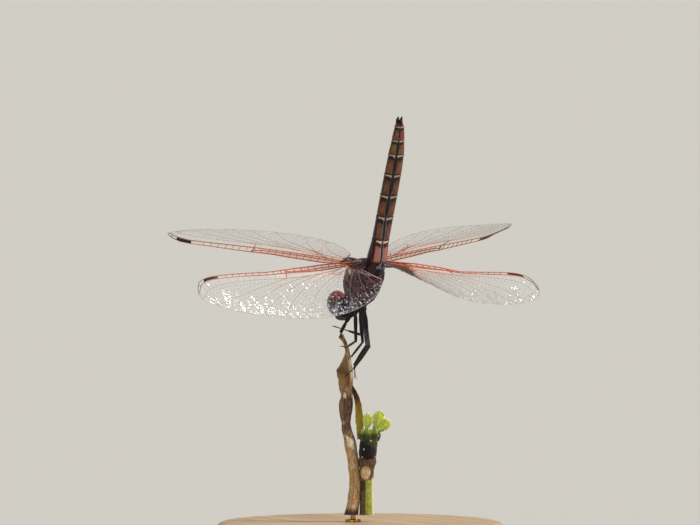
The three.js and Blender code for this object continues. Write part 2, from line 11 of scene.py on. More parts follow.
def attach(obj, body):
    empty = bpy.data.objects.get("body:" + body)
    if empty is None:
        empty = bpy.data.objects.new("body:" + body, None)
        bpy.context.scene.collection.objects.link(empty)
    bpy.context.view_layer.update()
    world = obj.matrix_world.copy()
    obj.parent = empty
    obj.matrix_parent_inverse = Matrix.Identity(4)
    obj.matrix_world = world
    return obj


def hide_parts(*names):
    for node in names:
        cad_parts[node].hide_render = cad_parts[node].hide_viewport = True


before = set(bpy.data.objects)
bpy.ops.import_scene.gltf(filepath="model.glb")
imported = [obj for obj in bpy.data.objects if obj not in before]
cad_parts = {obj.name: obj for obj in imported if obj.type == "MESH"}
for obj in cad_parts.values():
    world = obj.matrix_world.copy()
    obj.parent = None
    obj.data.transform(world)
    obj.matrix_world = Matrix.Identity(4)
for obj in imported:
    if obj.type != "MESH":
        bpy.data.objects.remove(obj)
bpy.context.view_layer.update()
MM = 0.001
random.seed(7)

# ---- Driving dimensions ----------------------------------------------------------------------

WAIST = Vector((-0.4, -5.1, 42.6))     # where the abdomen meets the thorax; the insect is placed from it
NOSE_DOWN = math.radians(26.5)
FORWARD = Vector((0, math.cos(NOSE_DOWN), -math.sin(NOSE_DOWN)))
UP = Vector((0, math.sin(NOSE_DOWN), math.cos(NOSE_DOWN)))
RIGHT = Vector((1, 0, 0))
HEAD_CENTRE = WAIST + Vector((0, 9.26, -4.75))

# Abdomen: length of each segment, half width and half depth at its far end.
SEGMENTS = [
    (0.6, 1.5, 1.42), (1.6, 1.56, 1.5), (3.5, 1.38, 1.12), (3.8, 1.41, 1.0), (3.5, 1.42, 0.96),
    (3.4, 1.4, 0.92), (3.2, 1.3, 0.86), (2.2, 1.06, 0.74), (2.15, 0.8, 0.58), (0.5, 0.6, 0.48),
]
ABDOMEN_ROOT = (1.4, 1.3)               # half width and half depth at the waist
ABDOMEN_LENGTH = sum(segment[0] for segment in SEGMENTS)
ABDOMEN_FROM = WAIST + Vector((0, 0.25, 0.55))
ABDOMEN_TILT = (19.7, 10.0)             # degrees back from upright, low down and at the tip
TILT_EASES_FROM = 0.66                  # share of the length

# Wings: hinge place on the thorax (forward, up, out), outlines as shares of the length.
FORE_WING = {
    "kind": "fore", "length": 31.0, "hinge": (3.15, 3.6, 2.75), "nodus": 0.505, "stigma": (0.834, 0.92),
    "leading": [(0, 0), (0.06, 0), (0.17, -0.001), (0.3, 0.0), (0.42, 0.003), (0.53, -0.004),
                (0.7, -0.006), (0.83, -0.007), (0.915, 0.007), (0.962, 0.03), (0.991, 0.07)],
    "trailing": [(0, 0.06), (0.03, 0.115), (0.13, 0.172), (0.28, 0.212), (0.48, 0.229),
                 (0.68, 0.217), (0.82, 0.192), (0.9, 0.163), (0.943, 0.139), (0.972, 0.109)],
}
HIND_WING = {
    "kind": "hind", "length": 29.6, "hinge": (0.88, 2.61, 2.81), "nodus": 0.41, "stigma": (0.812, 0.906),
    "leading": [(0, 0), (0.015, 0), (0.04, 0), (0.08, 0), (0.14, 0), (0.24, -0.001), (0.41, -0.004),
                (0.6, -0.008), (0.77, -0.01), (0.86, -0.005), (0.912, 0.009), (0.948, 0.036),
                (0.97, 0.07), (0.981, 0.1)],
    "trailing": [(0, 0.083), (-0.004, 0.16), (0.005, 0.265), (0.035, 0.335), (0.1, 0.367),
                 (0.2, 0.36), (0.36, 0.315), (0.5, 0.277), (0.525, 0.264), (0.56, 0.257), (0.74, 0.217),
                 (0.86, 0.184), (0.93, 0.161), (0.962, 0.144), (0.978, 0.126)],
}
# side, shape, sweep forward and lift in degrees, pitch at root, nodus and tip, bow at the tip
WINGS = {
    "fore_wing_left": (-1, FORE_WING, 1.7, 11.3, (4, 0, -9.3), -0.008),
    "fore_wing_right": (1, FORE_WING, 16.8, 14.9, (23, 4.6, -4.7), 0),
    "hind_wing_left": (-1, HIND_WING, -0.8, -3.7, (-37.5, -79, -75), 0.009),
    "hind_wing_right": (1, HIND_WING, 8, -3.9, (-38, -57, -88), 0.046),
}
PITCH_NODUS = 0.4                       # share of the length at which the middle pitch holds
WING_ROOT = 0.012                       # share of the length at which the blade begins

# hip, knee, ankle and toe
LEGS = {
    "fore_leg_left":
        [(-1.05, 0.15, 37.3), (-1.98, 0.75, 35.59), (-1.96, 2.4, 33.95), (-1.8, 2.72, 33.25)],
    "fore_leg_right":
        [(0.25, 0.15, 37.3), (1.46, 2.08, 33.38), (0.1, 3.6, 33.95), (-1.53, 5.09, 34.61)],
    "middle_leg_left":
        [(-1.35, -0.87, 37.2), (-1.85, -1.82, 32.71), (-1.35, 1.95, 31.55), (-1.55, 2.62, 31.7)],
    "middle_leg_right":
        [(-0.3, -0.45, 37.2), (0.57, 0.22, 32.39), (0.25, 3.0, 30.1), (-0.35, 3.75, 29.5)],
    "hind_leg_left":
        [(-1.15, -2.5, 37.9), (-0.89, -4.07, 31.86), (-0.75, 0.5, 28.5), (-1.49, 1.5, 27.41)],
    "hind_leg_right":
        [(-0.05, -1.2, 37.45), (0.54, -1.18, 32.11), (0.25, 2.19, 28.89), (0.42, 2.25, 27.15)],
}
LEG_PARTS = ("femur", "tibia", "tarsus")
# half thickness at the hip, knee, ankle and toe
LEG_HALF = {
    "fore": (0.36, 0.25, 0.15, 0.1), "middle": (0.3, 0.22, 0.13, 0.09), "hind": (0.46, 0.3, 0.16, 0.1),
    "fore_leg_left": (0.38, 0.3, 0.25, 0.14),
}

# Twig: centre line and half width of each woody part.
STEM = [
    (-1.3, 3.26, 33.52, 0.25), (-1.31, 3.24, 33.1, 0.4), (-1.03, 3.03, 32.5, 0.31),
    (-0.73, 2.79, 31.4, 0.34), (-0.57, 2.57, 30.2, 0.33), (-0.49, 2.38, 29, 0.34), (-0.4, 2.26, 27.8, 0.38),
    (-0.55, 2.12, 25.95, 0.5), (-0.92, 2.24, 24.6, 0.74), (-1.1, 2.28, 23.2, 1.06), (-1.2, 2.2, 21.85, 0.98),
    (-1.32, 2.02, 20.3, 0.7), (-1.25, 1.88, 19, 0.78), (-1.0, 1.53, 17.6, 0.86), (-0.84, 1.33, 16.2, 0.94),
    (-0.7, 1.05, 14.7, 0.86), (-0.56, 0.86, 12.9, 0.84), (-0.54, 0.61, 10.8, 0.84), (-0.62, 0.57, 9.25, 0.9),
    (-0.82, 0.6, 7.9, 0.94), (-1.2, 0.72, 6.1, 1.05),
]
# swellings on the stem: height, angle round it in degrees, size and how far it stands out
STEM_BUMPS = [(32.9, 200, 0.5, 0.12), (21.5, 150, 0.8, 0.15), (15.8, -100, 0.7, 0.15), (9.0, 170, 0.8, 0.12)]
SHOOT = [
    (1.02, -0.48, 15.5, 1.1), (1.04, -0.42, 14.7, 1.3), (1.06, -0.42, 14, 1.35), (0.95, -0.4, 13.07, 1.12),
    (0.92, -0.32, 11.7, 1.08), (0.96, -0.31, 10.15, 1.02), (0.92, -0.41, 8.35, 1.04), (0.85, -0.55, 6.1, 1.1),
]
BUD = [
    (1.0, -0.57, 14.4, 1.1), (0.98, -0.57, 15.3, 1.34), (1.1, -0.69, 17, 1.34), (1.3, -0.86, 18.4, 1.22),
    (1.42, -0.93, 19.05, 1.0),
]
DRY_LEAF = [
    (-0.68, 1.13, 25.7, 0.1), (-0.41, 0.98, 24.8, 0.36), (0.02, 0.81, 23.4, 0.47), (0.2, 0.73, 21.9, 0.54),
    (0.28, 0.66, 20.5, 0.62), (0.3, 0.61, 19, 0.5), (0.1, 0.64, 17.55, 0.22),
]
BARK = [
    (-0.8, 2.86, 30.83, 0.1), (-0.91, 2.79, 29.6, 0.5), (-1.03, 2.8, 28.85, 0.78),
    (-1.24, 2.87, 28.1, 1.09), (-1.26, 2.78, 27.2, 0.97), (-1.3, 2.67, 26.1, 0.82),
    (-1.43, 2.63, 25.05, 0.6), (-1.45, 2.57, 23.85, 0.2),
]
# centre, half width, half height and lean in degrees
LEAFLETS = {
    "leaflet_left": ((1.05, -0.44, 20.4), 0.66, 1.3, 2),
    "leaflet_middle": ((2.42, -1.35, 20.6), 1.0, 1.5, 10),
    "leaflet_right": ((3.26, -1.92, 19.85), 0.8, 1.16, 36),
}
FACING = Vector((0.86, -0.5, 0)).normalized()   # the way that the twig's flat parts are wide

BASE_RADIUS, BASE_THICKNESS = 22.0, 5.0
ROD_AT, ROD_RADIUS, ROD_TOP = (-0.9, 0.62), 0.4, 8.2
COLLAR_RADIUS, COLLAR_HEIGHT = 1.2, 0.4


# ---- Mixing a finish -------------------------------------------------------------------------

def tint(code):
    """A linear colour from a #rrggbb paint code."""
    channels = [int(code[at:at + 2], 16) / 255 for at in (1, 3, 5)]
    return (*[c / 12.92 if c < 0.04045 else ((c + 0.055) / 1.055) ** 2.4 for c in channels], 1.0)


class Finish:
    """A material on the mixing bench. Each method adds one node and gives its output."""

    def __init__(self, name, **plain):
        self.material = bpy.data.materials.new(name)
        self.material.use_nodes = True
        self.tree = self.material.node_tree
        self.shader = self.tree.nodes["Principled BSDF"]
        for key, value in plain.items():
            self.shader.inputs[key.replace("_", " ")].default_value = value

    def add(self, kind, settings=None, inputs=None, output=0):
        """A shader node with its settings and inputs, and one of its outputs."""
        node = self.tree.nodes.new("ShaderNode" + kind)
        for key, value in (settings or {}).items():
            setattr(node, key, value)
        for key, value in (inputs or {}).items():
            self.feed(node.inputs[key], value)
        return node.outputs[output]

    def feed(self, socket, value):
        """Links a node's output to a socket, or sets a number, a vector or a paint code on it."""
        if isinstance(value, bpy.types.NodeSocket):
            self.tree.links.new(value, socket)
        else:
            socket.default_value = tint(value) if isinstance(value, str) else value

    def drive(self, **sources):
        """Feeds the shader's own sockets."""
        for key, source in sources.items():
            self.feed(self.shader.inputs[key.replace("_", " ")], source)

    def place(self, stretch=(1, 1, 1)):
        """Object coordinates in millimetres, stretched along each axis."""
        scale = [1000 * share for share in stretch]
        where = self.add("TexCoord", output="Object")
        return self.add("VectorMath", {"operation": "MULTIPLY"}, {0: where, 1: scale})

    def mark(self, name):
        """The parts of a vector that the piece carries at each of its points."""
        return self.split(self.add("Attribute", {"attribute_name": name}, output="Vector"))

    def stretched_mark(self, name, stretch):
        """The whole mark, stretched along each axis, for a pattern that follows it."""
        vector = self.add("Attribute", {"attribute_name": name}, output="Vector")
        return self.add("VectorMath", {"operation": "MULTIPLY"}, {0: vector, 1: stretch})

    def split(self, vector):
        return [self.add("SeparateXYZ", inputs={0: vector}, output=axis) for axis in range(3)]

    def noise(self, where, scale, detail=4, roughness=0.55, distortion=0):
        return self.add("TexNoise", inputs={"Vector": where, "Scale": scale, "Detail": detail,
                                            "Roughness": roughness, "Distortion": distortion})

    def cells(self, where, scale, feature="DISTANCE_TO_EDGE", randomness=1.0):
        return self.add("TexVoronoi", {"feature": feature}, {"Vector": where, "Scale": scale,
                                                             "Randomness": randomness})

    def calc(self, operation, first, second=0.0, clamp=False):
        return self.add("Math", {"operation": operation, "use_clamp": clamp}, {0: first, 1: second})

    def times(self, first, second):
        return self.calc("MULTIPLY", first, second)

    def plus(self, first, second, clamp=False):
        return self.calc("ADD", first, second, clamp)

    def minus(self, first, second):
        return self.calc("SUBTRACT", first, second)

    def apart(self, value, middle=0.0):
        """How far a value is from the middle, either way."""
        return self.calc("ABSOLUTE", self.minus(value, middle) if middle else value)

    def fade(self, value, low, high, to_low=0.0, to_high=1.0):
        """A soft step from to_low at low to to_high at high."""
        return self.add("MapRange", {"interpolation_type": "SMOOTHSTEP"},
                        {"Value": value, 1: low, 2: high, 3: to_low, 4: to_high})

    def bump_band(self, value, middle, half, soft):
        """1 within half of middle, falling to 0 over soft."""
        return self.fade(self.apart(value, middle), half, half + soft, 1.0, 0.0)

    def shades(self, value, *stops):
        """A colour ramp through (position, paint code) stops."""
        node = self.tree.nodes.new("ShaderNodeValToRGB")
        ramp = node.color_ramp
        while len(ramp.elements) < len(stops):
            ramp.elements.new(0.5)
        for element, (position, code) in zip(ramp.elements, stops):
            element.position = position
            element.color = tint(code)
        self.feed(node.inputs[0], value)
        return node.outputs[0]

    def blend(self, share, first, second):
        """Goes from the first colour to the second as share goes from 0 to 1."""
        return self.add("Mix", {"data_type": "RGBA"}, {0: share, 6: first, 7: second}, output=2)

    def relief(self, height, strength=0.5, depth=0.02):
        """Bump from a height, depth in millimetres."""
        return self.add("Bump", inputs={"Height": height, "Strength": strength, "Distance": depth * MM})


# ---- Making pieces ---------------------------------------------------------------------------

def within(share):
    """A share kept between 0 and 1."""
    return max(0.0, min(1.0, share))


def eased(share):
    """From 0 to 1 with a soft start and a soft end."""
    share = within(share)
    return share * share * (3 - 2 * share)


def bell(away, width):
    """1 at no distance, falling off softly over the width."""
    return math.exp(-(away / width) ** 2)


def let_go():
    """Leaves edit mode with nothing selected."""
    if bpy.context.object and bpy.context.object.mode != "OBJECT":
        bpy.ops.object.mode_set(mode="OBJECT")
    bpy.ops.object.select_all(action="DESELECT")


def take(piece):
    let_go()
    piece.select_set(True)
    bpy.context.view_layer.objects.active = piece
    return piece


def new_piece(name):
    """The piece that the last operator added, under its own name."""
    piece = bpy.context.object
    piece.name = name
    piece.data.name = name
    return piece


def settle(piece):
    """Puts a piece's place, turn and size into its mesh."""
    take(piece)
    bpy.ops.object.transform_apply(location=True, rotation=True, scale=True)
    return piece


def edit_all(piece):
    """Opens a piece in edit mode with all of it selected."""
    take(piece)
    bpy.ops.object.mode_set(mode="EDIT")
    bpy.ops.mesh.select_all(action="SELECT")


def face_outwards(piece):
    """Turns every face outwards and leaves edit mode."""
    edit_all(piece)
    bpy.ops.mesh.normals_make_consistent(inside=False)
    let_go()
    return piece


def smooth(piece, degrees=45):
    take(piece)
    bpy.ops.object.shade_smooth_by_angle(angle=math.radians(degrees))
    return piece


def use_modifier(piece, kind, **settings):
    """Adds a modifier and applies it."""
    take(piece)
    modifier = piece.modifiers.new(kind.lower(), kind)
    for key, value in settings.items():
        setattr(modifier, key, value)
    bpy.ops.object.modifier_apply(modifier=modifier.name)
    return piece


def join(name, pieces):
    take(pieces[0])
    for piece in pieces:
        piece.select_set(True)
    if len(pieces) > 1:
        bpy.ops.object.join()
    return new_piece(name)


def draw_up(name, sides, rings):
    """A round bar drawn up from a disc through rings of (height, radius) in mm, closed at both ends."""
    height, radius = rings[0]
    let_go()
    bpy.ops.mesh.primitive_circle_add(vertices=sides, radius=radius * MM, fill_type="NGON",
                                      location=(0, 0, height * MM))
    piece = settle(new_piece(name))
    edit_all(piece)
    for after, wider in rings[1:]:
        bpy.ops.mesh.extrude_region_move(TRANSFORM_OT_translate={"value": (0, 0, (after - height) * MM)})
        bpy.ops.transform.resize(value=(wider / radius, wider / radius, 1))
        height, radius = after, wider
    return face_outwards(piece)


def plain_rings(start, end, count, cap=3):
    """Rings of radius 1 from start to end, rounded in to a point at both ends."""
    body = [(start + (end - start) * step / count, 1.0) for step in range(count + 1)]
    closing = [0.03 + 0.97 * math.sin(math.pi / 2 * step / cap) for step in range(cap)]
    return [(start, share) for share in closing] + body + [(end, share) for share in reversed(closing)]


def wire(name, strands, sides=8):
    """Round rods along strands of (x, y, z, half) knots in mm, as one mesh."""
    curve = bpy.data.curves.new(name, "CURVE")
    curve.dimensions = "3D"
    curve.bevel_mode = "ROUND"
    curve.bevel_depth = MM
    curve.bevel_resolution = (sides - 4) // 2
    curve.use_fill_caps = True
    for strand in strands:
        spline = curve.splines.new("POLY")
        spline.points.add(len(strand) - 1)
        for point, (x, y, z, half) in zip(spline.points, strand):
            point.co = (x * MM, y * MM, z * MM, 1)
            point.radius = half
    piece = bpy.data.objects.new(name, curve)
    bpy.context.scene.collection.objects.link(piece)
    take(piece)
    bpy.ops.object.convert(target="MESH")
    return new_piece(name)


def flow(knots, count):
    """Knots of any length thinned or thickened to an even, smooth line."""
    last = len(knots) - 1
    line = []
    for step in range(count + 1):
        at = step / count * last
        low = min(int(at), last - 1)
        share = at - low
        around = [Vector(knots[max(0, min(last, low + offset))]) for offset in (-1, 0, 1, 2)]
        line.append([catmull(share, *[knot[axis] for knot in around]) for axis in range(len(knots[0]))])
    return line


def catmull(share, before, first, second, after):
    """A Catmull-Rom curve's value between first and second."""
    straight = 2 * first + (second - before) * share
    bend = (2 * before - 5 * first + 4 * second - after) * share ** 2
    return 0.5 * (straight + bend + (3 * first - before - 3 * second + after) * share ** 3)


def between(table, at):
    """A value read off a table of (place, value) rows."""
    for (low, first), (high, second) in zip(table, table[1:]):
        if at <= high:
            return first + (second - first) * max(0.0, at - low) / (high - low)
    return table[-1][1]


def finish_piece(piece, material, nodes=()):
    """Paints a piece, lets it ride on the body and stand for its CAD nodes."""
    piece.data.materials.clear()
    piece.data.materials.append(material)
    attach(piece, "root")
    if nodes:
        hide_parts(*nodes)
    return piece


# ---- Wings -----------------------------------------------------------------------------------
# A wing is laid out flat on the bench: x runs from hinge to tip and y from the leading edge back,
# in mm. It is turned into its pose at the end, and keeps its flat place as the "wing" mark.

# Each vein: its parent, where it leaves its parent, and its knots as shares of the length.
FORE_VEINS = [
    (None, 0, [(0, 0.014), (0.2, 0.02), (0.42, 0.019), (0.49, 0.011), (0.505, 0.001)]),
    (None, 0, [(0, 0.024), (0.2, 0.032), (0.45, 0.031), (0.6, 0.024), (0.8, 0.016), (0.86, 0.017),
               (0.915, 0.029), (0.96, 0.052), (0.983, 0.085)]),
    (1, 0.1, [(0.2, 0.053), (0.32, 0.07), (0.45, 0.074), (0.6, 0.07), (0.8, 0.068), (0.92, 0.086),
              (0.972, 0.116)]),
    (2, 0.49, [(0.6, 0.088), (0.75, 0.112), (0.87, 0.143), (0.93, 0.156)]),
    (2, 0.36, [(0.5, 0.095), (0.65, 0.13), (0.78, 0.172), (0.85, 0.188)]),
    (2, 0.27, [(0.4, 0.096), (0.55, 0.137), (0.67, 0.19), (0.72, 0.214)]),
    (2, 0.105, [(0.2, 0.072), (0.35, 0.1), (0.48, 0.142), (0.57, 0.195), (0.615, 0.225)]),
    (8, 0.18, [(0.26, 0.1), (0.36, 0.138), (0.44, 0.19), (0.485, 0.229)]),
    (None, 0, [(0, 0.045), (0.1, 0.053), (0.18, 0.072), (0.235, 0.115), (0.285, 0.165), (0.315, 0.208)]),
    (None, 0, [(0, 0.052), (0.08, 0.075), (0.14, 0.112), (0.185, 0.17)]),
]
HIND_VEINS = [
    (None, 0, [(0, 0.012), (0.2, 0.016), (0.33, 0.015), (0.395, 0.008), (0.41, -0.002)]),
    (None, 0, [(0, 0.025), (0.2, 0.031), (0.4, 0.016), (0.6, 0.009), (0.77, 0.007), (0.86, 0.014),
               (0.912, 0.03), (0.948, 0.058), (0.973, 0.1)]),
    (1, 0.08, [(0.15, 0.048), (0.38, 0.05), (0.55, 0.038), (0.75, 0.042), (0.88, 0.068), (0.963, 0.13)]),
    (2, 0.42, [(0.52, 0.07), (0.68, 0.108), (0.82, 0.155), (0.89, 0.168)]),
    (2, 0.3, [(0.42, 0.075), (0.56, 0.124), (0.7, 0.18), (0.78, 0.203)]),
    (2, 0.22, [(0.33, 0.078), (0.46, 0.13), (0.58, 0.198), (0.64, 0.24)]),
    (2, 0.085, [(0.15, 0.057), (0.27, 0.09), (0.38, 0.143), (0.47, 0.218), (0.515, 0.27)]),
    (8, 0.11, [(0.19, 0.1), (0.28, 0.155), (0.35, 0.23), (0.395, 0.306)]),
    (None, 0, [(0, 0.045), (0.08, 0.06), (0.115, 0.075), (0.155, 0.12), (0.2, 0.19), (0.24, 0.27),
               (0.265, 0.343)]),
    (None, 0, [(0, 0.06), (0.05, 0.09), (0.1, 0.15), (0.145, 0.22), (0.175, 0.3), (0.185, 0.362)]),
    (None, 0, [(0, 0.066), (0.04, 0.12), (0.075, 0.2), (0.098, 0.29), (0.11, 0.368)]),
    (None, 0, [(0, 0.074), (0.024, 0.14), (0.038, 0.23), (0.05, 0.348)]),
]
VEINS = {"fore": FORE_VEINS, "hind": HIND_VEINS}
TRIANGLES = {
    "fore": [(0.15, 0.062), (0.185, 0.054), (0.178, 0.104), (0.15, 0.062)],
    "hind": [(0.105, 0.067), (0.17, 0.066), (0.118, 0.092), (0.105, 0.067)],
}
VEIN_HALF = {"costa": (0.1, 0.055), "radius": (0.095, 0.05), "sector": (0.048, 0.016)}     # root, tip
MARGIN_HALF = 0.034
NET_THICKNESS = 0.022                   # the fine cross-veins
MEMBRANE_THICKNESS = 0.02
STIGMA_THICKNESS = 0.11
STIGMA_ROOM = 0.4                       # no cells this close to the dark cell near the tip
CELL_DOME = 0.085                       # how far a cell's middle may stand off its veins
ROOT_DOME = 0.2                         # the same in the folded part near the root
ROOT_DOME_REACH = 0.25                  # share of the length over which it fades out
CELL_ROW = 0.62                         # a row of cells is about this wide
CELL_LEAST, CELL_MOST = 0.45, 0.75      # how long a cell may be
NARROW_FIELD = 0.12                     # a field narrower than this has no cells
OUTER_FROM, OUTER_STRETCH = 0.7, 1.35   # cells are longer beyond this share of the vein
TIP_FROM = 0.84                         # share of the length where the edge begins to bend round
SMALLEST_CELL = 0.01                    # square mm
TOUCHING, TOO_SMALL = 0.03, 0.02        # corners this close are one corner; shorter edges go
SHEET_WOBBLE = 0.012
# how far the leading edge stands above or hangs below the blade, by place along the wing
LEADING_RISE = {
    "fore": [(0, 0), (0.12, -0.3), (1, -0.3)],
    "hind": [(0, 0.25), (0.08, 0.36), (0.2, 0.4), (0.36, 0.1), (0.5, -0.5), (1, -0.5)],
}
RISE_WIDTH = {"fore": 0.032, "hind": 0.09}
COSTAL_STEP = 1.2                       # the cross-veins next to the costa are further apart
SPAN_STEP = 0.4                         # a vein has a knot about this often


def outline_points(knots, length, count=120):
    """A smooth line through knots given as shares of the wing's length, in mm."""
    return [Vector((max(a, WING_ROOT), c)) * length for a, c in flow(knots, count)]


def arc_lengths(line):
    """How far along a line each of its points lies."""
    lengths = [0.0]
    for before, after in zip(line, line[1:]):
        lengths.append(lengths[-1] + (after - before).length)
    return lengths


def point_at(line, lengths, share):
    """The point at a share of a line's length."""
    target = within(share) * lengths[-1]
    index = 1
    while index < len(line) - 1 and lengths[index] < target:
        index += 1
    step = lengths[index] - lengths[index - 1]
    part = 0 if step == 0 else (target - lengths[index - 1]) / step
    return line[index - 1].lerp(line[index], part)


def closest_stretch(line, point):
    """The closest place on a line: distance, foot and direction there."""
    best = None
    for before, after in zip(line, line[1:]):
        way = after - before
        reach = way.length_squared
        if reach < 1e-10:
            continue
        share = within((point - before).dot(way) / reach)
        foot = before + way * share
        distance = (point - foot).length
        if best is None or distance < best[0]:
            best = (distance, foot, way.normalized())
    return best


def trim(polygon, foot, inward):
    """What is left of a polygon on the inward side of a line through foot."""
    kept = []
    for index, corner in enumerate(polygon):
        before = polygon[index - 1]
        ahead = (corner - foot).dot(inward)
        behind = (before - foot).dot(inward)
        if (ahead >= 0) != (behind >= 0):
            kept.append(before.lerp(corner, behind / (behind - ahead)))
        if ahead >= 0:
            kept.append(corner)
    return kept


def vein_lines(shape, veins):
    """The full line of each vein from the root to the margin, its own part, and the margin itself."""
    length = shape["length"]
    leading = outline_points(shape["leading"], length)
    trailing = outline_points(shape["trailing"], length)
    across = trailing[-1] - leading[-1]
    beyond = Vector((across.y, -across.x)).normalized() * 0.004 * length
    tip = [trailing[-1] - across * step / 8 + beyond * math.sin(math.pi * step / 8) for step in range(1, 9)]
    margin = trailing + tip
    full, own = [], []
    for number, (parent, leaves, knots) in enumerate(veins):
        start = []
        if parent is not None:
            # a vein whose parent comes later in the list leaves from that parent's own knots
            line = full[parent] if parent < len(full) else drawn_vein(veins[parent][2], length)
            start = [point for point in line if point.x < leaves * length]
            knots = [(start[-1].x / length, start[-1].y / length)] + knots
        branch = drawn_vein(knots, length)
        if number:
            branch = end_on(branch, margin)
        full.append(start + branch if parent is not None else branch)
        own.append(branch)
    nodus = full[0][-1].x
    full[0] = full[0] + [point for point in leading if point.x > nodus]
    return leading, full, own, margin


def drawn_vein(knots, length):
    """A smooth vein with as many points as its length needs."""
    reach = sum(math.dist(knot, after) for knot, after in zip(knots, knots[1:]))
    return outline_points(knots, length, max(6, round(reach * length / SPAN_STEP)))


def margin_place(margin, point):
    """The number of the margin's point closest to a point."""
    return min(range(len(margin)), key=lambda index: (margin[index] - point).length)


def end_on(line, margin):
    """Ends a line exactly on the margin."""
    return line[:-1] + [margin[margin_place(margin, line[-1])]]


def fields_between(leading, full, margin):
    """The fields of cells: the vein in front, the vein behind closed along the margin."""
    lines = [leading] + full
    fields = []
    for front, rear in zip(lines, lines[1:]):
        start, end = margin_place(margin, rear[-1]), margin_place(margin, front[-1])
        shared = 0
        while shared < min(len(front), len(rear)) - 1 and (front[shared] - rear[shared]).length < 1e-4:
            shared += 1
        first = max(0, shared - 1)
        fields.append((front[first:], rear[first:] + margin[start + 1:end + 1]))
    last = lines[-1]
    fields.append((last, margin[:margin_place(margin, last[-1]) + 1]))
    return fields


def cell_seeds(front, rear, number):
    """Where the cells of one field sit, row by row."""
    ahead, behind = arc_lengths(front), arc_lengths(rear)
    reach = (ahead[-1] + behind[-1]) / 2
    costal = number < 3
    seeds = []
    share = 0.1 / reach
    while share < 1:
        a, b = point_at(front, ahead, share), point_at(rear, behind, share)
        width = (b - a).length
        if costal:
            rows = 1
            step = COSTAL_STEP * (0.75 if number == 2 else 1)
        else:
            rows = max(1, round(width / CELL_ROW))
            step = max(CELL_LEAST, min(CELL_MOST, width / rows))
        if share > OUTER_FROM and rows > 1:
            step *= OUTER_STRETCH
        if width > NARROW_FIELD:
            for row in range(rows):
                shift = 0.5 * step / reach * (row % 2) + random.uniform(-0.06, 0.06) * step / reach
                a, b = point_at(front, ahead, share + shift), point_at(rear, behind, share + shift)
                place = a.lerp(b, (row + 0.5 + random.uniform(-0.08, 0.08) * (rows > 1)) / rows)
                seeds.append((place, max(step, width / rows)))
        share += step / reach
    return seeds


def near_tip(lines, reach):
    """The stretches of the outer lines that bend round the tip: both ends and the direction."""
    stretches = []
    for line in lines:
        for before, after in zip(line, line[1:]):
            way = after - before
            if way.length > 0.01 and max(before.x, after.x) > reach:
                stretches.append((before, after, way.normalized()))
    return stretches


def trim_beyond(polygon, seed, foot, way):
    """What is left of a polygon on the seed's side of a line through foot."""
    inward = Vector((-way.y, way.x))
    if inward.dot(seed - foot) < 0:
        inward = -inward
    return trim(polygon, foot, inward)


def cell_outlines(front, rear, margin, seeds, outer):
    """A cell round each seed, halfway to its neighbours and no further than the veins."""
    cells = []
    for index, (seed, size) in enumerate(seeds):
        reach = 1.1 * size
        polygon = [seed + Vector((x, y)) * reach for x, y in ((-1, -1), (1, -1), (1, 1), (-1, 1))]
        for other, (neighbour, _) in enumerate(seeds):
            gap = neighbour - seed
            if other != index and 1e-6 < gap.length < 2.4 * reach:
                polygon = trim(polygon, seed + gap / 2, -gap.normalized())
        for line in (front, rear, margin):
            distance, foot, way = closest_stretch(line, seed)
            if 1e-4 < distance < 1.6 * reach:
                polygon = trim_beyond(polygon, seed, foot, way)
        for before, after, way in outer:
            if min((before - seed).length, (after - seed).length) < 1.7 * reach:
                polygon = trim_beyond(polygon, seed, before, way)
        if len(polygon) > 2:
            cells.append(polygon)
    return cells


def polygon_area(polygon):
    return abs(sum(a.cross(b) for a, b in zip(polygon, polygon[1:] + polygon[:1]))) / 2


def cell_sheet(name, cells):
    """The cells as one flat sheet of faces, joined where they touch."""
    corners = [(corner.x * MM, corner.y * MM, 0) for cell in cells for corner in cell]
    faces, start = [], 0
    for cell in cells:
        faces.append(list(range(start, start + len(cell))))
        start += len(cell)
    mesh = bpy.data.meshes.new(name)
    mesh.from_pydata(corners, [], faces)
    piece = bpy.data.objects.new(name, mesh)
    bpy.context.scene.collection.objects.link(piece)
    edit_all(piece)
    bpy.ops.mesh.remove_doubles(threshold=TOUCHING * MM)
    bpy.ops.mesh.dissolve_degenerate(threshold=TOO_SMALL * MM)
    return face_outwards(piece)


def twin(piece, name):
    """A copy of a piece with its own mesh."""
    take(piece)
    bpy.ops.object.duplicate(linked=False)
    return new_piece(name)


def pitch_at(pitches, share):
    """The blade's pitch in radians, on a smooth line through those at root, nodus and tip."""
    root, nodus, tip = pitches
    at = within(share)
    to_root = (at - PITCH_NODUS) * (at - 1) / PITCH_NODUS
    to_nodus = at * (at - 1) / (PITCH_NODUS * (PITCH_NODUS - 1))
    to_tip = at * (at - PITCH_NODUS) / (1 - PITCH_NODUS)
    return math.radians(root * to_root + nodus * to_nodus + tip * to_tip)


def wing_pose(side, shape, sweep, lift, pitches, bow):
    """Where a point of the flat wing goes in the wing's pose."""
    kind = shape["kind"]
    sweep, lift = math.radians(sweep), math.radians(lift)
    level = RIGHT * side * math.cos(sweep) * math.cos(lift) + FORWARD * math.sin(sweep) * math.cos(lift)
    span = level + UP * math.sin(lift)
    flat = (span * FORWARD.dot(span) - FORWARD).normalized()
    above = span.cross(flat) * -side
    forward, up, out = shape["hinge"]
    hinge = WAIST + FORWARD * forward + UP * up + RIGHT * out * side
    length = shape["length"]

    def pose(x, y, z):
        along = x / length
        front = max(0.0, 1 - max(0.0, y) / (RISE_WIDTH[kind] * length))
        z += between(LEADING_RISE[kind], along) * front * front
        angle = pitch_at(pitches, along)
        chord = flat * math.cos(angle) + above * math.sin(angle)
        normal = above * math.cos(angle) - flat * math.sin(angle)
        return hinge + span * x + chord * y + above * length * bow * along * along + normal * z

    return pose


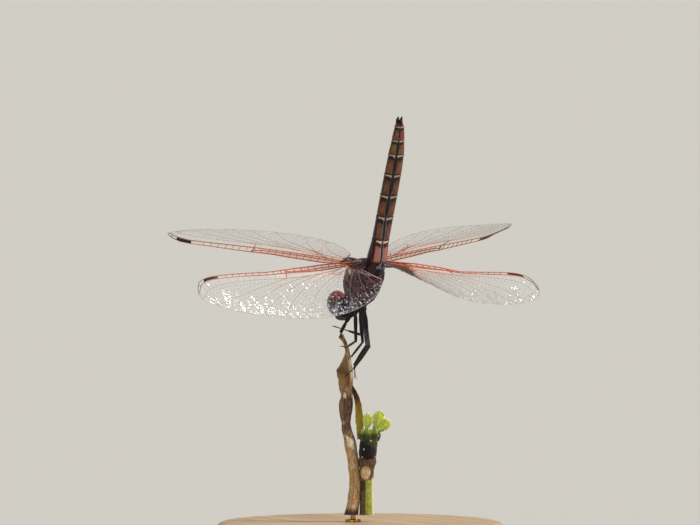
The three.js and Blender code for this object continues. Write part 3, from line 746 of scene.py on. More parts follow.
def wing_strands(shape, leading, own):
    """The main veins as rods: each a list of (x, y, z, half)."""
    length = shape["length"]

    def strand(line, halves, lift=0.0):
        root, tip = halves
        reach = max(1, len(line) - 1)
        return [(point.x, point.y, lift, root + (tip - root) * index / reach)
                for index, point in enumerate(line)]

    def fading(line, halves):
        """Thinner the further out a vein starts."""
        root, tip = halves
        starts = line[0].x / length
        return strand(line, (root + (tip - root) * starts, tip))

    strands = [strand(leading, VEIN_HALF["costa"], 0.03)]
    strands.append(strand(own[0], (0.07, 0.06), -0.03))
    strands.append(strand(own[1], VEIN_HALF["radius"], 0.04))
    strands += [fading(line, VEIN_HALF["sector"]) for line in own[2:]]
    nodus = shape["nodus"] * length
    costa = closest_stretch(leading, Vector((nodus, 0)))[1]
    radius = closest_stretch(own[1], Vector((nodus, 0.7)))[1]
    sector = closest_stretch(own[2], Vector((nodus + 0.35, 1.2)))[1]
    strands.append([(costa.x, costa.y, 0.03, 0.09), (radius.x, radius.y, 0.04, 0.075),
                    (sector.x, sector.y, 0, 0.05)])
    arculus = own[2][0]
    behind = closest_stretch(own[8], arculus)[1]
    strands.append([(arculus.x, arculus.y, 0, 0.055), (behind.x, behind.y, 0, 0.05)])
    strands.append([(a * length, c * length, 0, 0.036) for a, c in TRIANGLES[shape["kind"]]])
    return strands


def cross_veins(front, rear, seeds):
    """Stout short veins across a single row of cells, between each cell and the next."""
    strands = []
    for (before, _), (after, _) in zip(seeds, seeds[1:]):
        middle = (before + after) / 2
        if (after - before).length < 2 * COSTAL_STEP:
            ahead, behind = closest_stretch(front, middle)[1], closest_stretch(rear, middle)[1]
            strands.append([(ahead.x, ahead.y, 0.03, 0.042), (behind.x, behind.y, 0.03, 0.036)])
    return strands


def stigma_sheet(name, shape, leading, radius):
    """The dark cell near the tip, between the costa and the radius."""
    length = shape["length"]
    first, last = [share * length for share in shape["stigma"]]
    let_go()
    bpy.ops.mesh.primitive_grid_add(x_subdivisions=24, y_subdivisions=3, size=1, location=(0, 0, 0))
    piece = new_piece(name)
    for vertex in piece.data.vertices:
        share, across = vertex.co.x + 0.5, vertex.co.y + 0.5
        slant = 0.25 * (across - 0.5)
        x = first + (last - first) * share + slant
        front = closest_stretch(leading, Vector((x, 0)))[1]
        rear = closest_stretch(radius, Vector((x, 1)))[1]
        point = front.lerp(rear, across)
        swell = 0.05 * math.sin(math.pi * share) ** 0.3 * math.sin(math.pi * (0.1 + 0.8 * across))
        vertex.co = Vector((point.x, point.y, swell)) * MM
    return use_modifier(piece, "SOLIDIFY", thickness=STIGMA_THICKNESS * MM, offset=0)


def build_wing(name, setting):
    """One wing in its pose: the film, the fine net, the veins, the dark cell and the edge."""
    shape = setting[1]
    length = shape["length"]
    leading, full, own, margin = vein_lines(shape, VEINS[shape["kind"]])
    cells, crossings = [], []
    first, last = [share * length for share in shape["stigma"]]
    outer = near_tip([leading, margin], TIP_FROM * length)
    for number, (front, rear) in enumerate(fields_between(leading, full, margin)):
        seeds = cell_seeds(front, rear, number)
        if number == 1:
            seeds = [seed for seed in seeds if not first - STIGMA_ROOM < seed[0].x < last + STIGMA_ROOM]
        if number < 2:
            crossings += cross_veins(front, rear, seeds)
        outlines = cell_outlines(front, rear, margin, seeds, outer)
        cells += [cell for cell in outlines if polygon_area(cell) > SMALLEST_CELL]
    sheet = cell_sheet(name, cells)
    for vertex in sheet.data.vertices:
        vertex.co.z = random.uniform(-SHEET_WOBBLE, SHEET_WOBBLE) * MM
    net = twin(sheet, name + "_net")
    use_modifier(net, "WIREFRAME", thickness=NET_THICKNESS * MM, use_replace=True, use_even_offset=False,
                 use_boundary=True)
    corners = len(sheet.data.vertices)
    edit_all(sheet)
    bpy.ops.mesh.mark_sharp()
    bpy.ops.mesh.poke()
    let_go()
    for middle in list(sheet.data.vertices)[corners:]:
        towards_root = max(0.0, 1 - middle.co.x / MM / (ROOT_DOME_REACH * length))
        dome = CELL_DOME + (ROOT_DOME - CELL_DOME) * towards_root
        middle.co.z += dome * random.choice((-1, 1)) * random.uniform(0.45, 1) * MM
    use_modifier(sheet, "SOLIDIFY", thickness=MEMBRANE_THICKNESS * MM, offset=0)
    net = join(name + "_net", [net, wire(name + "_crossings", crossings, 6)])
    rods = wire(name + "_veins", wing_strands(shape, leading, own), 8)
    spot = stigma_sheet(name + "_stigma", shape, leading, own[1])
    hem = wire(name + "_hem", [[(point.x, point.y, 0, MARGIN_HALF) for point in margin]], 6)
    pose = wing_pose(*setting)
    for piece in (sheet, net, rods, spot, hem):
        reshape(piece, pose, "wing", lambda x, y, z: (x / length, y / length, z))
        smooth(face_outwards(piece), 180 if piece is sheet else 60)
    return sheet, net, rods, spot, hem


def reshape(piece, place, mark=None, note=None):
    """Moves each point from where it was modelled, in mm, to place(x, y, z), and notes a mark on it."""
    mesh = piece.data
    marks = mesh.attributes.new(mark, "FLOAT_VECTOR", "POINT") if mark else None
    for index, vertex in enumerate(mesh.vertices):
        x, y, z = vertex.co / MM
        if mark:
            marks.data[index].vector = note(x, y, z)
        vertex.co = place(x, y, z) * MM
    return piece


# ---- Abdomen ---------------------------------------------------------------------------------
# It is modelled standing straight up and then laid over to its tilt. Its mark holds the segment's
# number and share along it, the angle from the underside's middle, and the distance along it in mm.

ABDOMEN_TWIST = [(0, 0), (2.5, 3), (4, 14), (7, 15), (9, 9), (10, 8)]     # segment, degrees


def segment_at(distance):
    """The segment's number, the share along it, and its half width and depth there."""
    before = ABDOMEN_ROOT
    start = 0.0
    for number, (length, wide, deep) in enumerate(SEGMENTS):
        if distance <= start + length or number == len(SEGMENTS) - 1:
            share = within((distance - start) / length)
            half_wide = before[0] + (wide - before[0]) * eased(share)
            half_deep = before[1] + (deep - before[1]) * eased(share)
            return number, share, half_wide, half_deep
        start += length
        before = (wide, deep)


def abdomen_tilt(distance):
    """How far the abdomen leans back there, in radians."""
    share = eased((distance / ABDOMEN_LENGTH - TILT_EASES_FROM) / (1 - TILT_EASES_FROM))
    return math.radians(ABDOMEN_TILT[0] + (ABDOMEN_TILT[1] - ABDOMEN_TILT[0]) * share)


def abdomen_way(lean):
    """The direction in which the abdomen runs at a lean."""
    return Vector((0, -math.sin(lean), math.cos(lean)))


LAY_STEPS = 500
ABDOMEN_LINE = [ABDOMEN_FROM]
for step in range(LAY_STEPS):
    lean = abdomen_tilt((step + 0.5) * ABDOMEN_LENGTH / LAY_STEPS)
    ABDOMEN_LINE.append(ABDOMEN_LINE[-1] + abdomen_way(lean) * ABDOMEN_LENGTH / LAY_STEPS)


def abdomen_place(x, y, z):
    """Lays over a point of the straight abdomen: z is the distance along it."""
    at = within(z / ABDOMEN_LENGTH) * LAY_STEPS
    low = min(int(at), LAY_STEPS - 1)
    centre = ABDOMEN_LINE[low].lerp(ABDOMEN_LINE[low + 1], at - low)
    lean = abdomen_tilt(z)
    upper = Vector((0, math.cos(lean), math.sin(lean)))
    past = z - max(0.0, min(ABDOMEN_LENGTH, z))
    return centre + RIGHT * x + upper * y + abdomen_way(lean) * past


def squared(angle, power):
    """A point of a squared-off circle."""
    c, s = math.cos(angle), math.sin(angle)
    return (math.copysign(abs(c) ** (2 / power), c), math.copysign(abs(s) ** (2 / power), s))


def abdomen_skin(x, y, z):
    """The abdomen's section: lipped at each joint, keeled along its sides and its underside."""
    number, share, wide, deep = segment_at(z)
    spread = math.hypot(x, y)
    angle = math.atan2(y, x)
    across, up = squared(angle, 2.3)
    # the lip of each segment laps over the next, which starts a little narrower
    lip = 0.045 * max(0.0, (share - 0.8) / 0.2) ** 2 - 0.05 * max(0.0, 1 - share / 0.1)
    lip = lip if number > 1 else 0.4 * lip
    from_below = abs(math.atan2(x, -y))
    twist = math.radians(between(ABDOMEN_TWIST, number + share))
    below = math.atan2(-x, -y) - twist
    long_plate = 1 if 1 < number < 9 else 0
    groove = -0.11 * bell(below, 0.16) * long_plate
    ridge = 0.05 * bell(abs(below) - 0.34, 0.13) * long_plate
    keel = 0.07 * bell(from_below - 1.35, 0.14) * long_plate
    crest = 0.05 * bell(from_below - math.pi, 0.15)
    swell = 1 + (lip + groove + ridge + keel + crest - 0.07) / max(0.5, (wide + deep) / 2)
    swell += 0.012 * noise.noise(Vector((x * 3, y * 3, z * 2.2)))
    return abdomen_place(across * wide * spread * swell, up * deep * spread * swell, z)


def abdomen_note(x, y, z):
    number, share, _, _ = segment_at(z)
    twist = math.radians(between(ABDOMEN_TWIST, number + share))
    return (number + min(share, 0.999), math.atan2(-x, -y) - twist, z)


def build_abdomen():
    rings = plain_rings(0.02, ABDOMEN_LENGTH - 0.02, 260, 5)
    piece = draw_up("abdomen_skin", 64, rings)
    reshape(piece, abdomen_skin, "abdomen", abdomen_note)
    return smooth(piece, 70)


def build_hamules():
    """The paired hooks and the plate between them under segment 2."""
    parts = []
    for side in (-1, 1):
        hook = [(0.36 * side, -1.32, 1.35, 0.34), (0.48 * side, -1.62, 1.7, 0.3),
                (0.36 * side + 0.02, -1.84, 2.07, 0.2), (0.24 * side, -1.82, 2.35, 0.09)]
        parts.append(flow(hook, 10))
    plate = [(0, -1.2, 0.5, 0.3), (0, -1.5, 0.75, 0.34), (0, -1.62, 1.2, 0.22), (0, -1.6, 1.6, 0.1)]
    parts.append(flow(plate, 8))
    piece = wire("abdomen_hamules", parts, 12)
    reshape(piece, abdomen_place, "abdomen", lambda x, y, z: (1.5, 0.0, z))
    return smooth(piece, 70)


def build_tail():
    """The two upper claspers and the shorter lower one."""
    parts = []
    for side in (-1, 1):
        upper = [(0.24 * side, 0.1, -0.35, 0.24), (0.27 * side, 0.14, 0.05, 0.28),
                 (0.31 * side, 0.15, 0.4, 0.25), (0.32 * side, 0.06, 0.72, 0.15), (0.3 * side, -0.04, 1.0, 0.03)]
        parts.append(flow(upper, 16))
    lower = [(0, -0.28, -0.3, 0.24), (0, -0.34, 0.1, 0.27), (0, -0.3, 0.4, 0.2), (0, -0.26, 0.62, 0.05)]
    parts.append(flow(lower, 10))
    piece = wire("tail_claspers", parts, 12)
    reshape(piece, lambda x, y, z: abdomen_place(x, y, z + ABDOMEN_LENGTH))
    return smooth(piece, 70)


# ---- Thorax ----------------------------------------------------------------------------------
# Forward along it, underside, top and half width in mm, on the body's own axes.

THORAX = [
    (-1.15, -1.0, 0.5, 0.7), (-0.75, -1.68, 1.2, 1.21), (0.2, -2.33, 2.3, 1.63), (1.2, -2.68, 3.35, 2.0),
    (2.4, -2.81, 3.95, 2.25), (3.6, -2.79, 4.1, 2.33), (4.8, -2.82, 3.7, 2.23), (5.8, -2.69, 3.25, 2.0),
    (6.7, -2.3, 2.5, 1.66), (7.25, -1.75, 1.75, 1.28), (7.7, -1.1, 0.9, 0.8),
]
THORAX_SLANT = 0.2                      # the upper side lies this much further back
THORAX_SUTURES = [(0.9, 0.10), (2.55, 0.12), (4.0, 0.12), (5.5, 0.08)]      # forward at mid height, depth
SUTURE_SLANT = 0.32


def body_place(forward, up, right):
    """A place on the body's own axes, from the waist, in mm."""
    return WAIST + FORWARD * forward + UP * up + RIGHT * right


def thorax_row(forward):
    """The thorax's underside, top and half width there."""
    return [between([(row[0], row[part]) for row in THORAX], forward) for part in (1, 2, 3)]


def thorax_skin(x, y, z):
    """z runs forward; x and y are a unit circle."""
    bottom, top, half = thorax_row(z)
    spread = math.hypot(x, y)
    across, up = squared(math.atan2(y, x), 2.5)
    width = 1 + 0.44 * up if up > 0 else 1 - 0.52 * (-up) ** 1.5
    rise = (bottom + top) / 2 + (top - bottom) / 2 * up * spread
    out = half * across * width * spread
    forward = z - THORAX_SLANT * rise
    side = min(1.0, abs(across) * 1.15)
    seam_at = forward - SUTURE_SLANT * rise
    dent = sum(depth * bell(seam_at - at, 0.13) for at, depth in THORAX_SUTURES)
    dent += 0.1 * bell(rise - 2.2, 0.16) * side
    crest = 0.16 * bell(out, 0.2) if up > 0.3 and 4.2 < forward < 6.6 else 0.0
    lump = 0.09 * noise.noise(Vector((out * 0.8, rise * 0.8, forward * 0.8)))
    lump += 0.025 * noise.noise(Vector((out * 3, rise * 3, forward * 3)))
    grow = 1 + (lump - dent * side + crest) / max(0.8, half)
    return body_place(forward, (bottom + top) / 2 * (1 - grow) + rise * grow, out * grow)


def build_thorax():
    piece = draw_up("thorax_skin", 72, plain_rings(THORAX[0][0], THORAX[-1][0], 90, 6))
    reshape(piece, thorax_skin, "thorax", lambda x, y, z: (z, y, x))
    smooth(piece, 70)
    neck = draw_up("neck_skin", 32, plain_rings(6.6, 8.5, 12, 3))

    def ringed(x, y, z):
        wave = math.sin(z * 7)
        return body_place(z, -0.25 + y * (1.05 - 0.08 * wave), x * (1.1 - 0.1 * wave))

    reshape(neck, ringed, "thorax", lambda x, y, z: (z, y, x))
    return piece, smooth(neck, 70)


def wing_base(name, setting):
    """The small hard plates that a wing turns on."""
    length = setting[1]["length"]
    plates = [
        [(-1.6, 0.1, 0.05, 0.3), (-0.7, 0.15, 0.08, 0.36), (0.1, 0.3, 0.1, 0.3), (0.75, 0.35, 0.05, 0.16)],
        [(-1.5, 0.9, -0.05, 0.3), (-0.6, 1.0, 0.0, 0.34), (0.15, 1.15, 0.05, 0.24), (0.6, 1.3, 0.0, 0.12)],
        [(-1.3, 1.8, -0.1, 0.26), (-0.5, 1.9, -0.05, 0.26), (0.3, 2.0, 0.0, 0.14)],
    ]
    piece = wire(name, [flow(plate, 10) for plate in plates], 12)
    reshape(piece, wing_pose(*setting), "wing", lambda x, y, z: (x / length, y / length, z))
    return smooth(piece, 70)


# ---- Head ------------------------------------------------------------------------------------

EYE_OUT, EYE_UP = 1.2, 0.35             # an eye's middle from the head's middle
EYE_HALF = Vector((1.5, 1.8, 1.95))


def ball(name, centre, half, segments=24, rings=16):
    """An egg shape to be melted into its neighbours; centre is from the head's middle."""
    let_go()
    bpy.ops.mesh.primitive_uv_sphere_add(segments=segments, ring_count=rings, radius=MM)
    piece = new_piece(name)
    edit_all(piece)
    bpy.ops.transform.resize(value=tuple(half))
    bpy.ops.transform.translate(value=(HEAD_CENTRE + Vector(centre)) * MM)
    let_go()
    return piece


def melt(name, lumps, grain):
    """Lumps run together into one skin with faces of about the grain's size."""
    piece = join(name, lumps)
    use_modifier(piece, "REMESH", mode="VOXEL", voxel_size=grain * MM)
    return use_modifier(piece, "SMOOTH", factor=0.5, iterations=4)


def build_eye(side):
    name = "eye_left_skin" if side < 0 else "eye_right_skin"
    let_go()
    bpy.ops.mesh.primitive_ico_sphere_add(subdivisions=6, radius=MM)
    piece = new_piece(name)

    def place(x, y, z):
        # the two eyes meet in a short seam on top of the head and leave room for the face in front
        out = EYE_OUT + x * side * EYE_HALF.x
        out = max(out, 0.03 + 0.02 * abs(z))
        inner = max(0.0, -x * side)
        forward = y * EYE_HALF.y - 0.25 * inner * y
        return HEAD_CENTRE + Vector((out * side, forward, EYE_UP + z * EYE_HALF.z))

    reshape(piece, place, "eye", lambda x, y, z: (x * side, y, z))
    return smooth(piece, 80)


def build_face():
    lumps = [
        ball("frons", (0, 1.3, 0.3), (1.05, 1.0, 0.9), 32, 20),
        ball("clypeus", (0, 1.2, -0.75), (1.3, 1.05, 0.75), 32, 20),
        ball("labrum", (0, 1.0, -1.45), (1.1, 0.9, 0.5), 32, 20),
        ball("labium", (0, 0.35, -1.8), (1.2, 1.1, 0.55), 32, 20),
        ball("vertex", (0, 0.95, 1.25), (0.5, 0.5, 0.55), 24, 16),
    ]
    piece = melt("face_skin", lumps, 0.07)
    for vertex in piece.data.vertices:
        vertex.co += vertex.normal * 0.012 * MM * noise.noise(vertex.co * 4000)
    return smooth(piece, 80)


def build_head_back():
    lumps = [
        ball("occiput", (0, -1.0, -0.15), (2.3, 0.8, 1.8), 40, 24),
        ball("gena", (0, -0.1, -1.25), (1.7, 1.15, 0.85), 40, 24),
        ball("nape", (0, -1.35, -0.2), (1.0, 0.7, 0.9), 32, 20),
    ]
    return smooth(melt("head_back", lumps, 0.08), 80)


def build_antennae():
    strands = []
    for side in (-1, 1):
        root = HEAD_CENTRE + Vector((0.55 * side, 2.05, 0.72))
        way = Vector((0.45 * side, 0.55, 0.85)).normalized()
        knots = [(*root, 0.12), (*(root + way * 0.2), 0.1), (*(root + way * 0.32), 0.045),
                 (*(root + way * 0.8 + Vector((0.03 * side, 0.02, 0))), 0.032),
                 (*(root + way * 1.5 + Vector((0.1 * side, 0.06, -0.05))), 0.012)]
        strands.append(flow(knots, 16))
    return smooth(wire("antennae", strands, 8), 70)


# ---- Legs ------------------------------------------------------------------------------------

def spine_row(start, end, half, count, lean, length, turn):
    """Stiff spines along one side of a limb, leaning towards its far end."""
    way = (end - start).normalized()
    out = way.orthogonal().normalized()
    out.rotate(Quaternion(way, turn))
    spines = []
    for number in range(count):
        share = 0.14 + 0.78 * number / max(1, count - 1)
        root = start.lerp(end, share) + out * half * 0.6
        reach = length * (1 - 0.35 * share) * random.uniform(0.85, 1.1)
        tip = root + (out * math.cos(lean) + way * math.sin(lean)) * reach
        middle = root.lerp(tip, 0.5) + way * 0.03
        spines.append([(*root, 0.022), (*middle, 0.016), (*tip, 0.005)])
    return spines


def build_leg(name, joints):
    """One leg: thigh, shin, three foot joints, two claws and the spines, as one mesh."""
    hip, knee, ankle, toe = [Vector(joint) for joint in joints]
    at_hip, at_knee, at_ankle, at_toe = LEG_HALF.get(name, LEG_HALF[name.split("_")[0]])
    thigh = (knee - hip).normalized()
    shin = (ankle - knee).normalized()
    foot = (toe - ankle).normalized()
    femur = [(*(hip - thigh * 0.5), at_hip * 0.9), (*hip, at_hip * 0.95),
             (*(hip + thigh * 0.35), at_hip * 0.7), (*hip.lerp(knee, 0.3), at_hip),
             (*hip.lerp(knee, 0.65), at_hip * 0.85), (*hip.lerp(knee, 0.92), at_knee * 1.05),
             (*knee, at_knee * 0.95)]
    tibia = [(*(knee - shin * 0.05), at_knee * 0.9), (*knee.lerp(ankle, 0.08), at_knee * 0.72),
             (*knee.lerp(ankle, 0.5), at_knee * 0.6 + at_ankle * 0.4),
             (*knee.lerp(ankle, 0.93), at_ankle), (*ankle, at_ankle * 1.15)]
    limbs = [flow(femur, 26), flow(tibia, 22)]
    for first, last in ((0.0, 0.22), (0.24, 0.52), (0.54, 1.0)):
        start, end = ankle.lerp(toe, first), ankle.lerp(toe, last)
        joint = [(*start, at_toe * 0.7), (*start.lerp(end, 0.6), at_toe * 0.85), (*end, at_toe * 1.05)]
        limbs.append(flow(joint, 6))
    side = foot.cross(Vector((0, 0, 1))).normalized()
    root = toe - foot * 0.05
    for way in (-1, 1):
        bend = root + foot * 0.22 + side * 0.15 * way
        tip = root + foot * 0.46 + side * 0.3 * way - Vector((0, 0, 0.08))
        limbs.append(flow([(*root, at_toe * 0.6), (*bend, 0.055), (*tip, 0.03)], 6))
    piece = wire(name + "_limb", limbs, 14)
    spines = []
    for turn in (0.6, 2.2):
        spines += spine_row(knee, ankle, at_ankle + 0.04, 7, 0.75, 0.42, turn)
    spines += spine_row(hip.lerp(knee, 0.25), knee, at_knee, 8, 0.5, 0.2, 1.4)
    bristles = wire(name + "_spines", spines, 4)
    return smooth(join(name + "_limb", [piece, bristles]), 70)


# ---- Twig ------------------------------------------------------------------------------------

DEEP = Vector((0.5, 0.86, 0)).normalized()       # the way that the twig's flat parts are thin


def line_reader(knots, count=240):
    """Reads a smooth line through the knots at any share of its length."""
    line = [Vector(point) for point in flow(knots, count)]

    def read(share):
        at = within(share) * count
        low = min(int(at), count - 1)
        return line[low].lerp(line[low + 1], at - low)

    return read


def ridged(place, seed):
    """Long fibres and cracks, as a height between -1 and 1."""
    fibre = noise.noise(Vector((place.x * 5, place.y * 5, place.z * 0.45 + seed)))
    crack = abs(noise.noise(Vector((place.x * 2.2 + 9, place.y * 2.2, place.z * 0.5 + seed))))
    lump = noise.noise(Vector((place.x * 1.1, place.y * 1.1, place.z * 0.9 + seed)))
    return 0.5 * fibre - 0.8 * max(0.0, 0.16 - crack) / 0.16 + 0.6 * lump


def build_woody(name, knots, sides, rings, rough, seed, bumps=()):
    """A round woody part with fibres, cracks and swellings: bumps are (height, angle, size, lift)."""
    read = line_reader(knots)
    piece = draw_up(name, sides, [(height * 10, share) for height, share in plain_rings(0.0, 1.0, rings, 4)])

    def place(x, y, z):
        cx, cy, cz, half = read(z / 10)
        centre = Vector((cx, cy, cz))
        spread = math.hypot(x, y)
        way = (FACING * x + DEEP * y) / max(1e-6, spread)
        skin = centre + way * half
        lift = rough * ridged(skin, seed)
        for height, angle, size, rise in bumps:
            turn = abs(math.remainder(math.atan2(y, x) - math.radians(angle), math.tau)) * half
            lift += rise * bell(math.hypot(cz - height, turn), size)
        return centre + way * spread * (half + lift)

    reshape(piece, place, "twig", lambda x, y, z: (x, y, read(z / 10)[2]))
    return smooth(piece, 60)


def build_flap(name, knots, thick, curl, rough, seed, count=110, sides=36):
    """A dry blade: wide along FACING, thin, cupped, with torn edges."""
    read = line_reader(knots)
    piece = draw_up(name, sides, [(height * 10, share) for height, share in plain_rings(0.0, 1.0, count, 3)])

    def place(x, y, z):
        cx, cy, cz, half = read(z / 10)
        centre = Vector((cx, cy, cz))
        spread = math.hypot(x, y)
        ax, ay = squared(math.atan2(y, x), 2.6)
        torn = 1 + 0.14 * noise.noise(Vector((math.copysign(3, x), seed, cz * 1.6))) * abs(ax)
        side = ax * spread * half * torn
        cup = -curl * (side / max(0.2, half)) ** 2
        wave = rough * noise.noise(Vector((side * 2.5, seed, cz * 0.8)))
        fibre = 0.3 * rough * noise.noise(Vector((side * 9, seed, cz * 0.6)))
        return centre + FACING * side + DEEP * (ay * spread * thick + cup + wave + fibre)

    reshape(piece, place, "twig", lambda x, y, z: (x, y, read(z / 10)[2]))
    return smooth(piece, 60)


def build_leaflet(name, centre, wide, high, lean):
    """A young leaf: a cupped, blunt blade with a midrib and scalloped edges."""
    let_go()
    bpy.ops.mesh.primitive_circle_add(vertices=72, radius=MM, fill_type="NGON")
    piece = new_piece(name)
    edit_all(piece)
    for _ in range(11):
        bpy.ops.mesh.inset(thickness=0.083 * MM)
    bpy.ops.mesh.poke()
    let_go()
    turn = math.radians(lean)
    seed = wide * 7

    def place(x, y, z):
        angle, spread = math.atan2(y, x), math.hypot(x, y)
        notch = 1 + 0.05 * math.sin(angle * 9 + seed) * spread
        if name == "leaflet_right_blade":
            notch -= 0.3 * bell(angle - 1.75, 0.28) * spread
        point = (1.0 + 0.18 * y) if y < 0 else 1.0
        side = x * wide * notch * point
        up = y * high * notch
        rib = abs(side)
        cup = 0.34 * (side / wide) ** 2 + 0.2 * (y * y) - 0.07 * bell(rib, 0.07)
        vein = 0.03 * math.cos((y * 9 - rib * 5) * 1.6) * min(1.0, rib * 2)
        ripple = 0.06 * noise.noise(Vector((side * 2 + seed, up * 2, 0)))
        way = FACING * (side * math.cos(turn) + up * math.sin(turn))
        rise = Vector((0, 0, up * math.cos(turn) - side * math.sin(turn)))
        return Vector(centre) + way + rise + DEEP * (-0.12 + cup + vein + ripple)

    reshape(piece, place, "leaf", lambda x, y, z: (x, y, math.hypot(x, y)))
    use_modifier(piece, "SOLIDIFY", thickness=0.11 * MM, offset=0)
    edit_all(piece)
    bpy.ops.mesh.remove_doubles(threshold=0.001 * MM)
    return smooth(face_outwards(piece), 60)


def build_bud():
    """The swollen fuzzy base that the leaflets come out of, with its scales and their stalks."""
    body = build_woody("bud_body", BUD, 48, 70, 0.09, 41)
    stalks = []
    start = Vector((1.35, -0.9, 18.6))
    for centre, _, high, lean in LEAFLETS.values():
        end = Vector(centre) - Vector((0, 0, high * 0.75))
        end -= FACING * 0.25 * math.sin(math.radians(lean)) * high
        stalks.append(flow([(*start, 0.3), (*start.lerp(end, 0.6), 0.2), (*end, 0.12)], 8))
    scales = []
    for turn in range(7):
        angle = math.radians(turn * 52 - 150)
        way = FACING * math.cos(angle) + DEEP * math.sin(angle)
        root = Vector((1.2, -0.8, 17.4 + 0.25 * (turn % 3))) + way * 1.15
        scales.append(flow([(*root, 0.3), (*(root + Vector((0, 0, 0.8)) + way * 0.25), 0.32),
                            (*(root + Vector((0, 0, 1.6)) + way * 0.1), 0.2),
                            (*(root + Vector((0, 0, 2.1)) - way * 0.1), 0.05)], 12))
    extra = wire("bud_scales", stalks + scales, 10)
    reshape(extra, lambda x, y, z: Vector((x, y, z)), "twig", lambda x, y, z: (0, -1, z))
    return smooth(join("bud_body", [body, extra]), 60)


# ---- Stand -----------------------------------------------------------------------------------

def build_stand():
    """A turned wooden disc, and a brass rod with its collar."""
    radius, top = BASE_RADIUS, BASE_THICKNESS
    profile = [
        (0.02, radius - 0.75), (0.1, radius - 0.55), (0.45, radius - 0.1), (0.8, radius),
        (top - 1.1, radius), (top - 0.6, radius - 0.15), (top - 0.2, radius - 0.55),
        (top - 0.02, radius - 1.1), (top, radius - 1.8), (top, radius * 0.6),
        (top, radius * 0.25), (top, 1.6)]
    disc = smooth(draw_up("stand_disc", 160, profile), 60)
    height = top + COLLAR_HEIGHT
    rod = draw_up("stand_rod_brass", 48, [
        (top - 1.0, 0.4), (top, 0.4), (top, COLLAR_RADIUS - 0.08), (top + 0.06, COLLAR_RADIUS),
        (height - 0.12, COLLAR_RADIUS), (height - 0.04, COLLAR_RADIUS - 0.06), (height, COLLAR_RADIUS - 0.2),
        (height, ROD_RADIUS + 0.05), (height + 0.05, ROD_RADIUS), (ROD_TOP - 0.1, ROD_RADIUS),
        (ROD_TOP, ROD_RADIUS - 0.12)])
    for vertex in rod.data.vertices:
        vertex.co += Vector((*ROD_AT, 0)) * MM
    return disc, smooth(rod, 40)


# ---- Finishes --------------------------------------------------------------------------------

